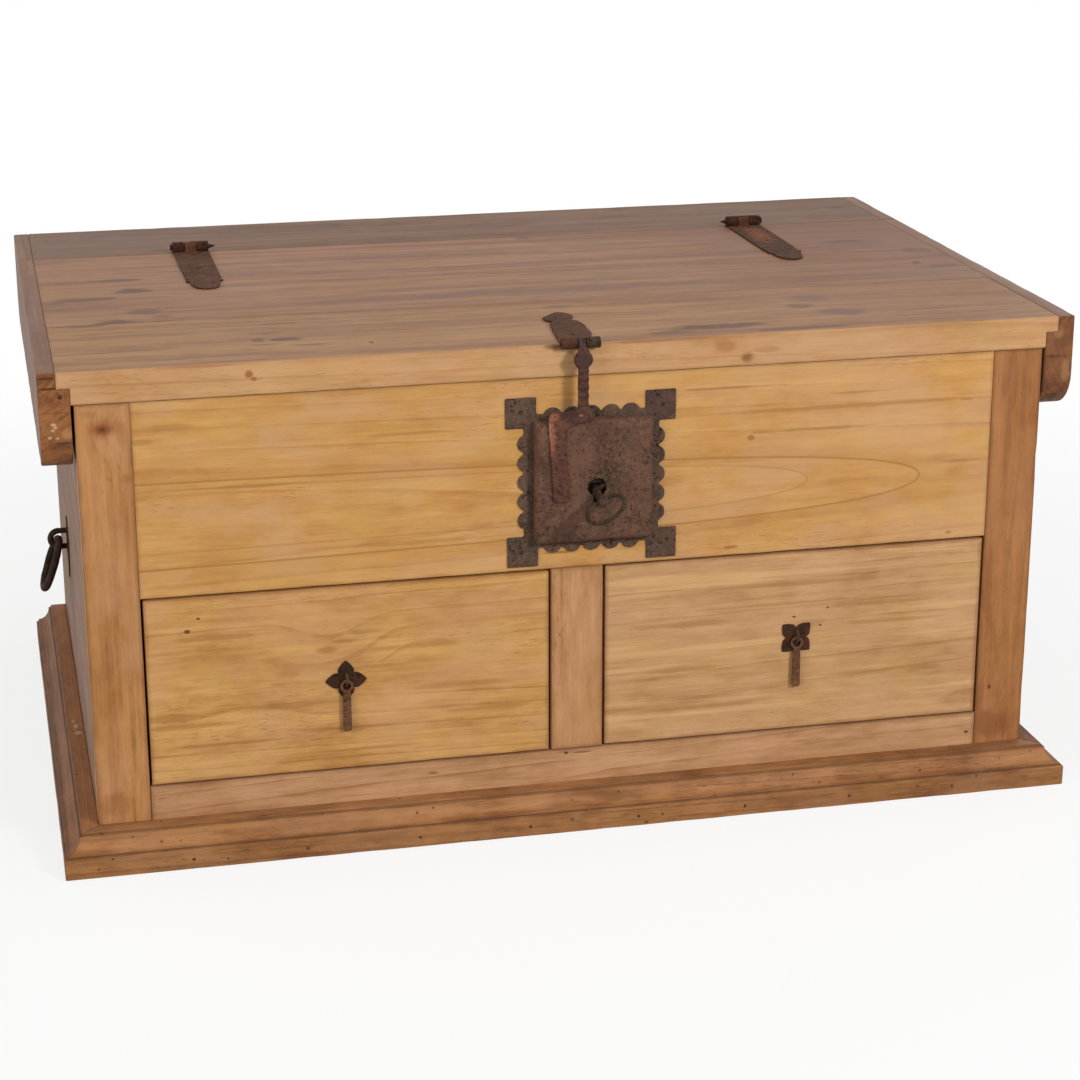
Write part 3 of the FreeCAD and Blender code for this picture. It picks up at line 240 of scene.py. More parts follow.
def pine(
    name,
    along,
    face,
    light,
    dark,
    pith=(0.0, 0.06, 0.0),
    ring=0.007,
    tilt=0.02,
    sway=0.03,
    lines=1.0,
    bands=1.0,
    clouds=1.0,
    flecks=1.0,
    blush=(0.55, 0.29, 0.16),
    blushing=0.3,
    drift=0.0,
    swirls=(),
    tongues=(),
    smudges=(),
    stain=(0.13, 0.060, 0.026),
    spots=(),
    dots=(),
    seams=(),
    worms=0.0,
    shine=0.15,
    box=None,
    grime_and_shade=0.4,
    joint=0.5,
    rim=0.006,
    weathered=None,
    fade=0.0,
    bare_front=False,
    inside=None,
    rough=0.6,
    seed=0,
):
    """Solid pine: growth rings about a pith line, stretched along the board.

    along and face name the axes of the grain and of the board's thickness. pith is where
    the rings' centre lies: across the board, in its depth, and the place along it that the
    tilt turns about. inside is an axis and a sign: faces turned that way stay raw.
    Marks are placed along and across the board, in metres. A swirl then has its radius and
    lift, a smudge its half length, half width and strength, a dot its size. A tongue has
    its tip, level, bluntness, straightness and strength. A spot has a place, three half
    sizes, a strength and a tint, and a seam a depth, a half width and a strength.
    """
    f = Finish(name)
    rng = random.Random(seed)
    axis_a = AXES.index(along)
    axis_d = AXES.index(face)
    axis_c = 3 - axis_a - axis_d
    axes = (axis_a, axis_c, axis_d)
    moved = f.vector("ADD", f.place, tuple(rng.uniform(-20, 20) for _ in AXES))

    def drawn_out(along_scale, across_scale):
        scales = [across_scale] * 3
        scales[axis_a] = along_scale
        return f.vector("MULTIPLY", moved, tuple(scales))

    grain = drawn_out(0.14, 1.0)
    flow = drawn_out(0.06, 1.0)
    split = f.parts(f.place)
    a, c, d = (split[axis] for axis in axes)

    c_off = c - pith[0] + f.sway(grain, 6.0) * sway + f.sway(grain, 30.0) * (sway * 0.30)
    d_off = d - pith[1] + (a - pith[2]) * tilt + f.sway(grain, 3.1) * (sway * 0.7)
    reach = (c_off * c_off + d_off * d_off) ** 0.5
    for swirl_a, swirl_c, radius, lift in swirls:
        near = away_from(f, axes, swirl_a, swirl_c, radius * 1.5, radius)
        reach = reach + f.step(near, 1.6, 0.0) * lift
    years = f.node("CombineXYZ", None, {0: reach * (0.6 / ring)})
    turns = reach / ring + f.sway(years, 1.0, 2.0) * 1.8 + f.sway(grain, 11.0) * 0.5
    year = turns.math("FRACT", turns)
    season = f.step(year, 0.15, 0.90) * f.step(year, 1.0, 0.93)
    late = f.step(year, 0.78, 0.94) * f.step(year, 1.0, 0.965)
    broken = f.step(f.noise(flow, 60.0, 3.0), 0.38, 0.62)
    streak = f.noise(flow, 110.0, 5.0, 0.62) - 0.5
    mottle = f.noise(drawn_out(0.34, 1.0), 85.0, 6.0, 0.68) - 0.5
    patch = f.sway(drawn_out(0.38, 1.0), 24.0, 3.0)
    cloud = f.sway(moved, 8.0, 3.0)
    fibre = f.sway(drawn_out(30.0, 760.0), 1.0, 2.0)
    tone = 0.40 + season * (0.14 * lines) + late * broken * (0.60 * lines) + streak * (1.15 * bands)
    tone = tone + mottle * (1.5 * clouds) + patch * (1.0 * clouds) + cloud * (0.7 * clouds) + fibre * 0.7
    base = f.mix(tone, light, dark)
    raw = f.mix(tone, RAW_PINE[0], RAW_PINE[1])
    warm = f.noise(drawn_out(0.6, 1.0), 17.0, 5.0, 0.6) + a * drift
    base = f.mix(f.step(warm, 0.40, 0.62) * blushing, base, blush)
    yellow = f.step(f.noise(drawn_out(0.45, 1.0), 26.0, 4.0, 0.6), 0.46, 0.66)
    base = f.mix(yellow * 0.25, base, (light[0] * 0.90, light[1] * 0.98, light[2] * 0.80))
    bright = f.step(f.noise(drawn_out(0.035, 1.0), 95.0, 3.0, 0.55), 0.52, 0.66)
    base = f.mix(bright * shine, base, tuple(min(v * 1.18, 0.8) for v in light))
    for tip, level, blunt, straight, strength in tongues:
        signed = tongue(a, c, f.sway(grain, 9.0, 3.0) * 0.006, tip, level, blunt, straight)
        rim_line = f.step(signed, -0.0012, 0.0002) * f.step(signed, 0.0022, 0.0006)
        outside = f.step(signed, -0.0004, 0.0010) * f.step(signed, 0.020, 0.001)
        base = f.mix(rim_line * strength, base, shade(dark, 0.8))
        base = f.mix(outside * (strength * 0.35), base, dark)

    deep = shade(dark, 0.36)
    ticks = f.noise(drawn_out(95.0, 800.0), 1.0, 1.0)
    ticked = f.step(ticks, 0.62, 0.74) * f.step(f.noise(grain, 20.0, 3.0), 0.44, 0.64)
    base = f.mix(ticked * (0.45 * flecks), base, deep)
    height = season * 0.2 + late * 0.3 + fibre * 0.5 + streak * 0.4 + mottle * 0.3 - ticked * 0.6
    ragged = f.sway(drawn_out(0.45, 1.0), 70.0, 4.0)
    if weathered:
        grey, worn = weathered
        tone = 0.36 + season * 0.12 + late * broken * 0.45 + streak * 1.25 + mottle * 1.5 + fibre * 0.7
        aged = f.mix(tone, grey, worn)
        broad = f.step(f.noise(drawn_out(0.05, 1.0), 30.0, 4.0, 0.6), 0.44, 0.62)
        aged = f.mix(broad * 0.45, aged, (worn[0] * 1.02, worn[1] * 0.88, worn[2] * 1.02))
        tanned = f.step(f.noise(drawn_out(0.09, 1.0), 34.0, 4.0, 0.6) - a * 0.10, 0.46, 0.62)
        aged = f.mix(tanned * 0.40, aged, (grey[0] * 1.16, grey[1] * 1.16, grey[2] * 1.02))
        if fade:
            aged = f.mix(
                f.step(a + patch * 0.15, 0.12, 0.42) * fade, aged, (worn[0], worn[1] * 0.93, worn[2] * 0.93)
            )
        aged = f.mix(ticked * 0.4, aged, shade(worn, 0.5))
        if bare_front:
            facing = f.parts(f.node("TexCoord", out="Normal"))[1]
            bare = f.step(facing, -0.35, -0.75)
            rubbed = f.step(c - box[0][axis_c] + ragged * 0.008, 0.0050, 0.0005) * 0.55
            base = f.mix(bare.math("MAXIMUM", bare, rubbed), aged, base)
        else:
            base = aged
    if smudges:
        base = f.mix(smudge_mask(f, smudges, axes, ragged), base, stain)
    for mask, tint in spot_masks(f, spots, ragged):
        base = f.mix(mask, base, tint)
    if dots:
        places = [(da, dc, size * 1.5, size, 0.9) for da, dc, size in dots]
        speck = smudge_mask(f, places, axes, ragged * 0.4)
        base = f.mix(speck, base, (0.075, 0.032, 0.009))
        height = height - speck * 2.0
    for level, half, strength in seams:
        gap = (d - level).math("ABSOLUTE", d - level)
        base = f.mix(f.step(gap + ragged * half, half * 1.3, half * 0.2) * strength, base, shade(dark, 0.42))
    if worms:
        specks = f.step(f.cells(moved, 62.0) + ragged * 0.08, 0.125, 0.070)
        base = f.mix(specks * worms, base, shade(dark, 0.40))
    if inside:
        turned = f.parts(f.node("TexCoord", out="Normal"))[AXES.index(inside[0])] * inside[1]
        base = f.mix(f.step(turned, 0.5, 0.8), base, raw)
    if box:
        low, high = box
        gaps = []
        for value, axis in ((a, axis_a), (c, axis_c), (d, axis_d)):
            below = value - low[axis]
            gaps.append(below.math("MINIMUM", below, high[axis] - value))
        lesser = gaps[0].math("MINIMUM", gaps[0], gaps[1])
        greater = gaps[0].math("MAXIMUM", gaps[0], gaps[1])
        inner = greater.math("MINIMUM", greater, gaps[2])
        edges = lesser.math("MAXIMUM", lesser, inner)
        # Darker along every arris and where boards meet: grime, and painted shade standing in for the shade
        # that gathers there.
        dirt_and_shade = f.step(edges + f.sway(moved, 34.0, 3.0) * (rim * 1.3), rim, 0.0) * grime_and_shade
        base = f.mix(dirt_and_shade, base, (dark[0] * 0.50, dark[1] * 0.40, dark[2] * 0.36))
        if not weathered:
            line = (dark[0] * 0.30, dark[1] * 0.20, dark[2] * 0.18)
            base = f.mix(f.step(edges, 0.0015, 0.0004) * joint, base, line)
    roughness = rough + cloud * 0.2 + streak * 0.15
    f.shader.inputs["Specular IOR Level"].default_value = 0.22
    return f.finish(colour=base, rough=roughness, normal=f.bump(height, 0.00045, 0.7))


# ---------------------------------------------------------------- iron


def rusted(
    name,
    dark=(0.048, 0.028, 0.019),
    brown=(0.125, 0.066, 0.042),
    red=(0.17, 0.068, 0.038),
    redness=0.35,
    patches=(),
    seed=0,
    scale=1.0,
    pitting=1.0,
):
    """Forged iron under old brown rust: blotches, reddish bloom and dark ragged pits."""
    f = Finish(name)
    rng = random.Random(seed)
    moved = f.vector("ADD", f.place, tuple(rng.uniform(-20, 20) for _ in AXES))
    broad = f.noise(moved, 30.0 * scale, 4.0, 0.6)
    fine = f.noise(moved, 210.0 * scale, 4.0, 0.65)
    grit = f.noise(moved, 640.0 * scale, 3.0, 0.65)
    base = f.mix(f.step(broad * 0.40 + fine * 0.34 + grit * 0.26, 0.39, 0.61), dark, brown)
    bloom = f.step(f.noise(moved, 70.0 * scale, 5.0, 0.65), 0.48, 0.68)
    base = f.mix(bloom * redness, base, red)
    olive = f.step(f.noise(moved, 46.0 * scale, 4.0, 0.6), 0.50, 0.68)
    base = f.mix(olive * 0.35, base, (brown[0] * 0.72, brown[1] * 0.95, brown[2] * 0.92))
    base = f.mix(f.step(fine * 0.5 + grit * 0.5, 0.54, 0.70) * 0.5, base, shade(brown, 1.7))
    ragged = f.sway(moved, 240.0, 4.0)
    for mask, tint in spot_masks(f, patches, ragged):
        base = f.mix(mask, base, tint)
    gate = f.step(f.noise(moved, 40.0, 3.0), 0.46, 0.62)
    pitted = f.step(f.noise(moved, 250.0 * scale, 3.0, 0.6) + gate * 0.08, 0.62, 0.70)
    base = f.mix(pitted * (0.75 * pitting), base, shade(dark, 0.30))
    height = broad * 0.5 + fine * 0.6 + grit * 0.35 - pitted * 1.2
    roughness = 0.66 + fine * 0.25 - bloom * 0.05
    f.shader.inputs["Specular IOR Level"].default_value = 0.15
    return f.finish(colour=base, rough=roughness, normal=f.bump(height, 0.0011, 0.9))


# ---------------------------------------------------------------- making pieces


def finished(name, bm, body, material, nodes, smooth_below=40):
    """Turns a bmesh into a piece that rides on a body and stands for CAD nodes."""
    bmesh.ops.recalc_face_normals(bm, faces=bm.faces)
    mesh = bpy.data.meshes.new(name)
    bm.to_mesh(mesh)
    bm.free()
    mesh.shade_smooth()
    mesh.set_sharp_from_angle(angle=math.radians(smooth_below))
    mesh.materials.append(material)
    piece = bpy.data.objects.new(name, mesh)
    bpy.context.scene.collection.objects.link(piece)
    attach(piece, body)
    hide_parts(*nodes)
    return piece


def even_shading(piece):
    even = piece.modifiers.new("even shading", "WEIGHTED_NORMAL")
    even.keep_sharp = True
    even.weight = 90
    return piece


def block(bm, low, high):
    """Adds a box between two corners, in millimetres."""
    low = Vector(low) * MM
    high = Vector(high) * MM
    place = Matrix.Translation((low + high) / 2) @ Matrix.Diagonal((*(high - low), 1))
    return bmesh.ops.create_cube(bm, size=1, matrix=place)["verts"]


def toward(axis):
    """A turn that takes +Z to an axis."""
    return Vector((0, 0, 1)).rotation_difference(Vector(axis)).to_matrix().to_4x4()


def rod(bm, start, end, radius, end_radius=None, segments=20):
    """Adds a round bar between two points, in millimetres."""
    start = Vector(start) * MM
    end = Vector(end) * MM
    place = Matrix.Translation((start + end) / 2) @ toward((end - start).normalized())
    last = radius if end_radius is None else end_radius
    return bmesh.ops.create_cone(
        bm,
        cap_ends=True,
        segments=segments,
        radius1=radius * MM,
        radius2=last * MM,
        depth=(end - start).length,
        matrix=place,
    )["verts"]


def ball(bm, centre, radii, segments=16):
    place = Matrix.Translation(Vector(centre) * MM) @ Matrix.Diagonal((*(Vector(radii) * MM), 1))
    return bmesh.ops.create_uvsphere(
        bm, u_segments=segments, v_segments=segments // 2, radius=1, matrix=place
    )["verts"]


def bent_bar(bm, centre, axis, first, turn, bar, steps=28, segments=12):
    """Sweeps a round bar about an axis: first is the bar's start, turn its degrees."""
    centre = Vector(centre) * MM
    axis = Vector(axis).normalized()
    arm = Vector(first) * MM - centre
    heading = axis.cross(arm).normalized()
    place = Matrix.Translation(centre + arm) @ toward(heading)
    ring = bmesh.ops.create_circle(
        bm, cap_ends=True, segments=segments, radius=bar * MM, matrix=place
    )["verts"]
    if abs(turn) < 360:
        geometry = ring + list({edge for v in ring for edge in v.link_edges})
        geometry += list({face for v in ring for face in v.link_faces})
        bmesh.ops.spin(
            bm, geom=geometry, cent=centre, axis=axis, angle=math.radians(turn), steps=steps
        )
        return
    bmesh.ops.delete(bm, geom=list({face for v in ring for face in v.link_faces}), context="FACES_ONLY")
    geometry = ring + list({edge for v in ring for edge in v.link_edges})
    bmesh.ops.spin(
        bm, geom=geometry, cent=centre, axis=axis, angle=FULL_TURN, steps=steps, use_merge=True
    )


def outline(bm, corners):
    """A closed face in the XY plane. A corner (x, y, r, side) is reached by an arc."""
    points = [Vector((*corner[:2], 0)) * MM for corner in corners]
    first = bm.verts.new(points[0])
    last = first
    edges = []
    for index in range(1, len(corners) + 1):
        corner = corners[index % len(corners)]
        closing = index == len(corners)
        if len(corner) == 2:
            if closing:
                edges.append(bm.edges.new((last, first)))
                break
            nxt = bm.verts.new(points[index])
            edges.append(bm.edges.new((last, nxt)))
            last = nxt
            continue
        end = points[index % len(points)]
        chord = end - last.co
        radius = corner[2] * MM
        side = corner[3]
        lift = math.sqrt(max(radius * radius - chord.length_squared / 4, 0.0))
        normal = Vector((-chord.y, chord.x, 0)).normalized()
        centre = (last.co + end) / 2 + normal * lift * side
        angle = 2 * math.asin(min(chord.length / 2 / radius, 1.0)) * side
        made = bmesh.ops.spin(
            bm, geom=[last], cent=centre, axis=(0, 0, 1), angle=angle, steps=ARC_STEPS
        )
        last = next(item for item in made["geom_last"] if isinstance(item, bmesh.types.BMVert))
        if closing:
            bmesh.ops.pointmerge(bm, verts=[last, first], merge_co=first.co)
    wired = [edge for edge in bm.edges if edge.is_wire]
    return bmesh.ops.edgenet_fill(bm, edges=wired)["faces"][0]


def pulled_out(bm, faces, vec):
    """Extrudes faces by a vector and returns the new corners."""
    raised = bmesh.ops.extrude_face_region(bm, geom=faces)["geom"]
    verts = [item for item in raised if isinstance(item, bmesh.types.BMVert)]
    bmesh.ops.translate(bm, verts=verts, vec=vec)
    return verts


def eased(bm, edges, offset, segments=3, clamped=False):
    """Rounds edges off by an offset in millimetres."""
    bmesh.ops.bevel(
        bm,
        geom=edges,
        offset=offset * MM,
        segments=segments,
        profile=0.5,
        affect="EDGES",
        material=-1,
        clamp_overlap=clamped,
    )


def slab(bm, corners, thick, place, ease=0.0):
    """A plate cut to an outline, put in place by a matrix. ease rounds its outer face's rim."""
    cut = bmesh.new()
    face = outline(cut, corners)
    pulled_out(cut, [face], (0, 0, thick * MM))
    if ease:
        eased(cut, [e for e in cut.edges if all(v.co.z > thick * MM * 0.99 for v in e.verts)], ease)
    bmesh.ops.transform(cut, matrix=place, verts=cut.verts)
    join(bm, cut)


def join(bm, other):
    """Moves another bmesh's geometry into this one."""
    bmesh.ops.recalc_face_normals(other, faces=other.faces)
    spare = bpy.data.meshes.new("spare")
    other.to_mesh(spare)
    other.free()
    bm.from_mesh(spare)
    bpy.data.meshes.remove(spare)


def at(x, y, z, facing="up"):
    """Where a plate drawn in XY lies: on top, or standing and facing the front or a side."""
    turns = {
        "up": Matrix.Identity(4),
        "front": Matrix.Rotation(math.radians(90), 4, "X"),
        "side": Matrix.Rotation(math.radians(90), 4, "Z") @ Matrix.Rotation(math.radians(90), 4, "X"),
    }
    return Matrix.Translation(Vector((x, y, z)) * MM) @ turns[facing]


def loose_parts(node):
    """The corners of each separate solid of a CAD node."""
    bm = bmesh.new()
    bm.from_mesh(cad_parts[node].data)
    bmesh.ops.remove_doubles(bm, verts=bm.verts, dist=1e-6)
    seen = set()
    boxes = []
    for start in bm.verts:
        if start in seen:
            continue
        seen.add(start)
        queue = [start]
        low = start.co.copy()
        high = start.co.copy()
        while queue:
            vert = queue.pop()
            for i in range(3):
                low[i] = min(low[i], vert.co[i])
                high[i] = max(high[i], vert.co[i])
            for edge in vert.link_edges:
                other = edge.other_vert(vert)
                if other not in seen:
                    seen.add(other)
                    queue.append(other)
        boxes.append((low / MM, high / MM))
    bm.free()
    return boxes


# ---------------------------------------------------------------- joinery


def slice_along(bm, axis, low, high, pitch):
    """Cuts a board across every pitch millimetres, so that its edges can wear unevenly."""
    count = max(int((high - low) / (pitch * MM)), 1)
    normal = [0, 0, 0]
    normal[axis] = 1
    for i in range(1, count):
        spot = [0, 0, 0]
        spot[axis] = low + (high - low) * i / count
        everything = bm.verts[:] + bm.edges[:] + bm.faces[:]
        bmesh.ops.bisect_plane(bm, geom=everything, plane_co=spot, plane_no=normal)


def worn_edges(bm, axis, edge, wear, seed, sharp=50):
    """Softens every arris, cuts the board across at even steps and then rubs the arrises down unevenly."""
    low = Vector([min(v.co[i] for v in bm.verts) for i in range(3)])
    high = Vector([max(v.co[i] for v in bm.verts) for i in range(3)])
    arrises = [
        e for e in bm.edges if len(e.link_faces) == 2 and e.calc_face_angle(0) > math.radians(sharp)
    ]
    eased(bm, arrises, edge, clamped=True)
    slice_along(bm, axis, low[axis], high[axis], 14)
    middle = (low + high) / 2
    for vert in bm.verts:
        touching = [
            i for i in range(3) if min(vert.co[i] - low[i], high[i] - vert.co[i]) < edge * MM * 1.05
        ]
        if len(touching) < 2:
            continue
        spot = vert.co * 26 + Vector((seed, seed * 2.3, seed * 0.7))
        rub = max(noise.noise(spot) + 0.6 * noise.noise(spot * 4.1) + 0.1, 0) * wear * MM
        for i in touching:
            if i != axis:
                vert.co[i] += math.copysign(rub, middle[i] - vert.co[i])


def board_mesh(low, high, edge, seed, wear=0.5):
    """A sawn board between two corners in metres, with worn arrises."""
    bm = bmesh.new()
    block(bm, low / MM, high / MM)
    sizes = high - low
    axis = max(range(3), key=lambda i: sizes[i])
    worn_edges(bm, axis, edge, wear, seed)
    return bm


def board(node, body, material, edge=1.5, seed=0, wear=0.5):
    low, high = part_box(node)
    piece = finished(f"{node}_wood", board_mesh(low, high, edge, seed, wear), body, material, [node])
    return even_shading(piece)


def tongued_board(node, body, material, edge, seed, wear=1.2):
    """A board with a half-thickness tongue at each end that reaches over the cleats."""
    low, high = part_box(node)
    tongue = LID_TONGUE * MM
    mid_height = high.z - LID_HALF * MM
    bm = bmesh.new()
    block(bm, Vector((low.x + tongue, low.y, low.z)) / MM, Vector((high.x - tongue, high.y, high.z)) / MM)
    everything = bm.verts[:] + bm.edges[:] + bm.faces[:]
    bmesh.ops.bisect_plane(bm, geom=everything, plane_co=(0, 0, mid_height), plane_no=(0, 0, 1))
    for side in (-1, 1):
        ends = [
            face
            for face in bm.faces
            if face.normal.x * side > 0.9 and face.calc_center_median().z > mid_height
        ]
        pulled_out(bm, ends, (side * tongue, 0, 0))
        bmesh.ops.delete(bm, geom=ends, context="FACES_ONLY")
    worn_edges(bm, 0, edge, wear, seed)
    return even_shading(finished(f"{node}_wood", bm, body, material, [node]))


def end_cleat(node, body, material, side, round_at_back, seed):
    """A cleat that hangs over the side, notched for the tongues, with one round corner."""
    low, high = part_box(node)
    inner, outer = (high.x, low.x) if side < 0 else (low.x, high.x)
    notch_x = inner + side * LID_TONGUE * MM
    notch_z = high.z - LID_HALF * MM
    corners = [
        (inner, low.z),
        (outer, low.z),
        (outer, high.z),
        (notch_x, high.z),
        (notch_x, notch_z),
        (inner, notch_z),
    ]
    bm = bmesh.new()
    section = bm.faces.new([bm.verts.new((x, low.y, z)) for x, z in corners])
    pulled_out(bm, [section], (0, high.y - low.y, 0))
    round_y = high.y if round_at_back else low.y
    corner = [
        e
        for e in bm.edges
        if all(abs(v.co.y - round_y) < 1e-6 and abs(v.co.z - low.z) < 1e-6 for v in e.verts)
    ]
    eased(bm, corner, CLEAT_ROUND, segments=12)
    bmesh.ops.recalc_face_normals(bm, faces=bm.faces)
    worn_edges(bm, 1, 1.6, 0.5, seed, sharp=35)
    return even_shading(finished(f"{node}_wood", bm, body, material, [node]))


PLINTH_PROFILE = [
    (0.0, 0.0),
    (PLINTH_REACH, 0.0),
    (PLINTH_REACH, 20.8),
    (33.1, 20.8),
    (33.1, 23.2),
    (29.0, 23.75),
    (25.3, 26.1),
    (22.5, 29.4),
    (20.7, 33.4),
    (20.1, 37.9),
    (17.5, 37.9),
    (17.5, 40.5),
    (0.0, 40.5),
]


def plinth_piece(node, material, seed):
    """A length of moulding: fascia, quirk, cove and land, mitred at the front corners."""
    low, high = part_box(node)
    reach = PLINTH_REACH * MM
    bm = bmesh.new()
    if node == "plinth_front":
        left, right = low.x + reach, high.x - reach
        base = high.y
        verts = [bm.verts.new((left - r * MM, base - r * MM, z * MM)) for r, z in PLINTH_PROFILE]
        far = [Vector((right + r * MM, base - r * MM, z * MM)) for r, z in PLINTH_PROFILE]
        axis = 0
    else:
        side = -1 if node == "plinth_left" else 1
        base = high.x if side < 0 else low.x
        front = low.y + reach
        verts = [
            bm.verts.new((base + side * r * MM, front - r * MM, z * MM)) for r, z in PLINTH_PROFILE
        ]
        far = [Vector((base + side * r * MM, high.y, z * MM)) for r, z in PLINTH_PROFILE]
        axis = 1
    section = bm.faces.new(verts)
    moved = pulled_out(bm, [section], (0, 0, 0))
    goals = {tuple(round(x, 7) for x in start.co): end for start, end in zip(verts, far)}
    for vert in moved:
        vert.co = goals[tuple(round(x, 7) for x in vert.co)]
    bmesh.ops.recalc_face_normals(bm, faces=bm.faces)
    worn_edges(bm, axis, 0.8, 0.4, seed, sharp=40)
    return even_shading(finished(f"{node}_wood", bm, "root", material, [node]))


# ---------------------------------------------------------------- smithing


def weld(bm, voxel, cuts=None):
    """Joins overlapping shapes into one skin of small facets, less what cuts removes."""
    bmesh.ops.recalc_face_normals(bm, faces=bm.faces)
    mesh = bpy.data.meshes.new("rough")
    bm.to_mesh(mesh)
    bm.free()
    rough = bpy.data.objects.new("rough", mesh)
    bpy.context.scene.collection.objects.link(rough)
    tool = None
    if cuts:
        bmesh.ops.recalc_face_normals(cuts, faces=cuts.faces)
        tool_mesh = bpy.data.meshes.new("tool")
        cuts.to_mesh(tool_mesh)
        cuts.free()
        tool = bpy.data.objects.new("tool", tool_mesh)
        bpy.context.scene.collection.objects.link(tool)
        bore = rough.modifiers.new("bore", "BOOLEAN")
        bore.operation = "DIFFERENCE"
        bore.solver = "EXACT"
        bore.use_self = True
        bore.object = tool
    skin = rough.modifiers.new("skin", "REMESH")
    skin.mode = "VOXEL"
    skin.voxel_size = voxel * MM
    skin.adaptivity = 0.0
    depsgraph = bpy.context.evaluated_depsgraph_get()
    depsgraph.update()
    result = bpy.data.meshes.new_from_object(rough.evaluated_get(depsgraph))
    made = bmesh.new()
    made.from_mesh(result)
    for thing in filter(None, (rough, tool)):
        old = thing.data
        bpy.data.objects.remove(thing)
        bpy.data.meshes.remove(old)
    bpy.data.meshes.remove(result)
    return made


def hammer(bm, dent, pit, seed, smooth=2):
    """Rounds off the facets, then dents and pits the skin."""
    for _ in range(smooth):
        bmesh.ops.smooth_vert(
            bm, verts=bm.verts, factor=0.5, use_axis_x=True, use_axis_y=True, use_axis_z=True
        )
    bm.normal_update()
    offset = Vector((seed * 1.7, seed * 0.9, seed * 2.9))
    for vert in bm.verts:
        blow = noise.noise(vert.co * 90 + offset) * dent
        grain = noise.noise(vert.co * 420 + offset) * pit
        hole = max(noise.noise(vert.co * 260 - offset) - 0.35, 0) * pit * 4
        vert.co += vert.normal * (blow + grain - hole) * MM


def forge(node, bm, body, material, voxel=0.8, cuts=None, dent=0.25, pit=0.1, seed=0, smooth=2):
    """A hand-forged piece that stands for one CAD node."""
    made = weld(bm, voxel, cuts)
    hammer(made, dent, pit, seed, smooth)
    return finished(f"{node}_iron", made, body, material, [node], smooth_below=75)


def lock_plate_shape(bm):
    """Scalloped sides between four square ears."""
    x, z = LOCK_CENTRE
    half = 67.9
    face = PLATE_FACE
    block(bm, (x - half, face, z - half), (x + half, CASE_FRONT + 0.2, z + half))
    rim = half - 3.1
    for step in range(-2, 3):
        run = step * 19.5
        for across, up in ((run, rim), (run, -rim), (rim, run), (-rim, run)):
            rod(bm, (x + across, CASE_FRONT + 0.2, z + up), (x + across, face, z + up), 9.3, segments=28)
    ear = 15.5
    middle = 86.4 - ear
    ears = ((-1, -1, 1.7, 0.0), (-1, 1, 0.2, 1.0), (1, -1, 0.0, 0.0), (1, 1, -1.8, 0.8))
    for across, up, aside, down in ears:
        ear_x = x + across * middle + aside
        ear_z = z + up * middle - down
        block(bm, (ear_x - ear, face, ear_z - ear), (ear_x + ear, CASE_FRONT + 0.2, ear_z + ear))
        web_x = ear_x - across * (ear + 0.5)
        web_z = ear_z - up * (ear + 0.5)
        rod(bm, (web_x, CASE_FRONT + 0.2, web_z), (web_x, face, web_z), 7.5, segments=24)


def lock_box_shape(bm):
    """A pillow: a box whose front is rounded off at a soft rim."""
    x, z = LOCK_CENTRE
    width, height = 59.0, 61.5
    face = BOX_FACE
    back = PLATE_FACE
    verts = block(bm, (x - width, face, z - height), (x + width, back, z + height))
    rim = [
        e
        for e in {e for v in verts for e in v.link_edges}
        if all(v.co.y < (face + 1) * MM for v in e.verts)
    ]
    eased(bm, rim, 7.5, segments=4)


def lock_box_cuts():
    cuts = bmesh.new()
    x, z = LOCK_CENTRE
    wall = 2.0
    side = 6.0
    face = BOX_FACE
    block(
        cuts,
        (x - BOX_HALF_WIDE + side, face + wall, z - BOX_HALF_HIGH + side),
        (x + BOX_HALF_WIDE - side, CASE_FRONT + 1, z + BOX_HALF_HIGH - side),
    )
    return cuts


def lock_plate():
    bm = bmesh.new()
    lock_plate_shape(bm)
    forge("lock_plate", bm, "root", PLATE_IRON, voxel=0.95, dent=0.25, pit=0.12, seed=3)


def keyhole_cut(cuts, face):
    rod(cuts, (16.2, face - 2, 354.5), (16.2, face + 6, 354.5), 9.0, segments=32)
    block(cuts, (13.2, face - 2, 335.5), (19.2, face + 6, 354.5))


def lock_box():
    bm = bmesh.new()
    lock_box_shape(bm)
    cuts = lock_box_cuts()
    face = BOX_FACE
    keyhole_cut(cuts, face)
    block(cuts, (-24.9, face - 2, 350.1), (-16.1, face + 6, 423.0))
    forge("lock_box", bm, "root", BOX_IRON, 0.9, cuts, dent=0.5, pit=0.16, seed=5, smooth=3)


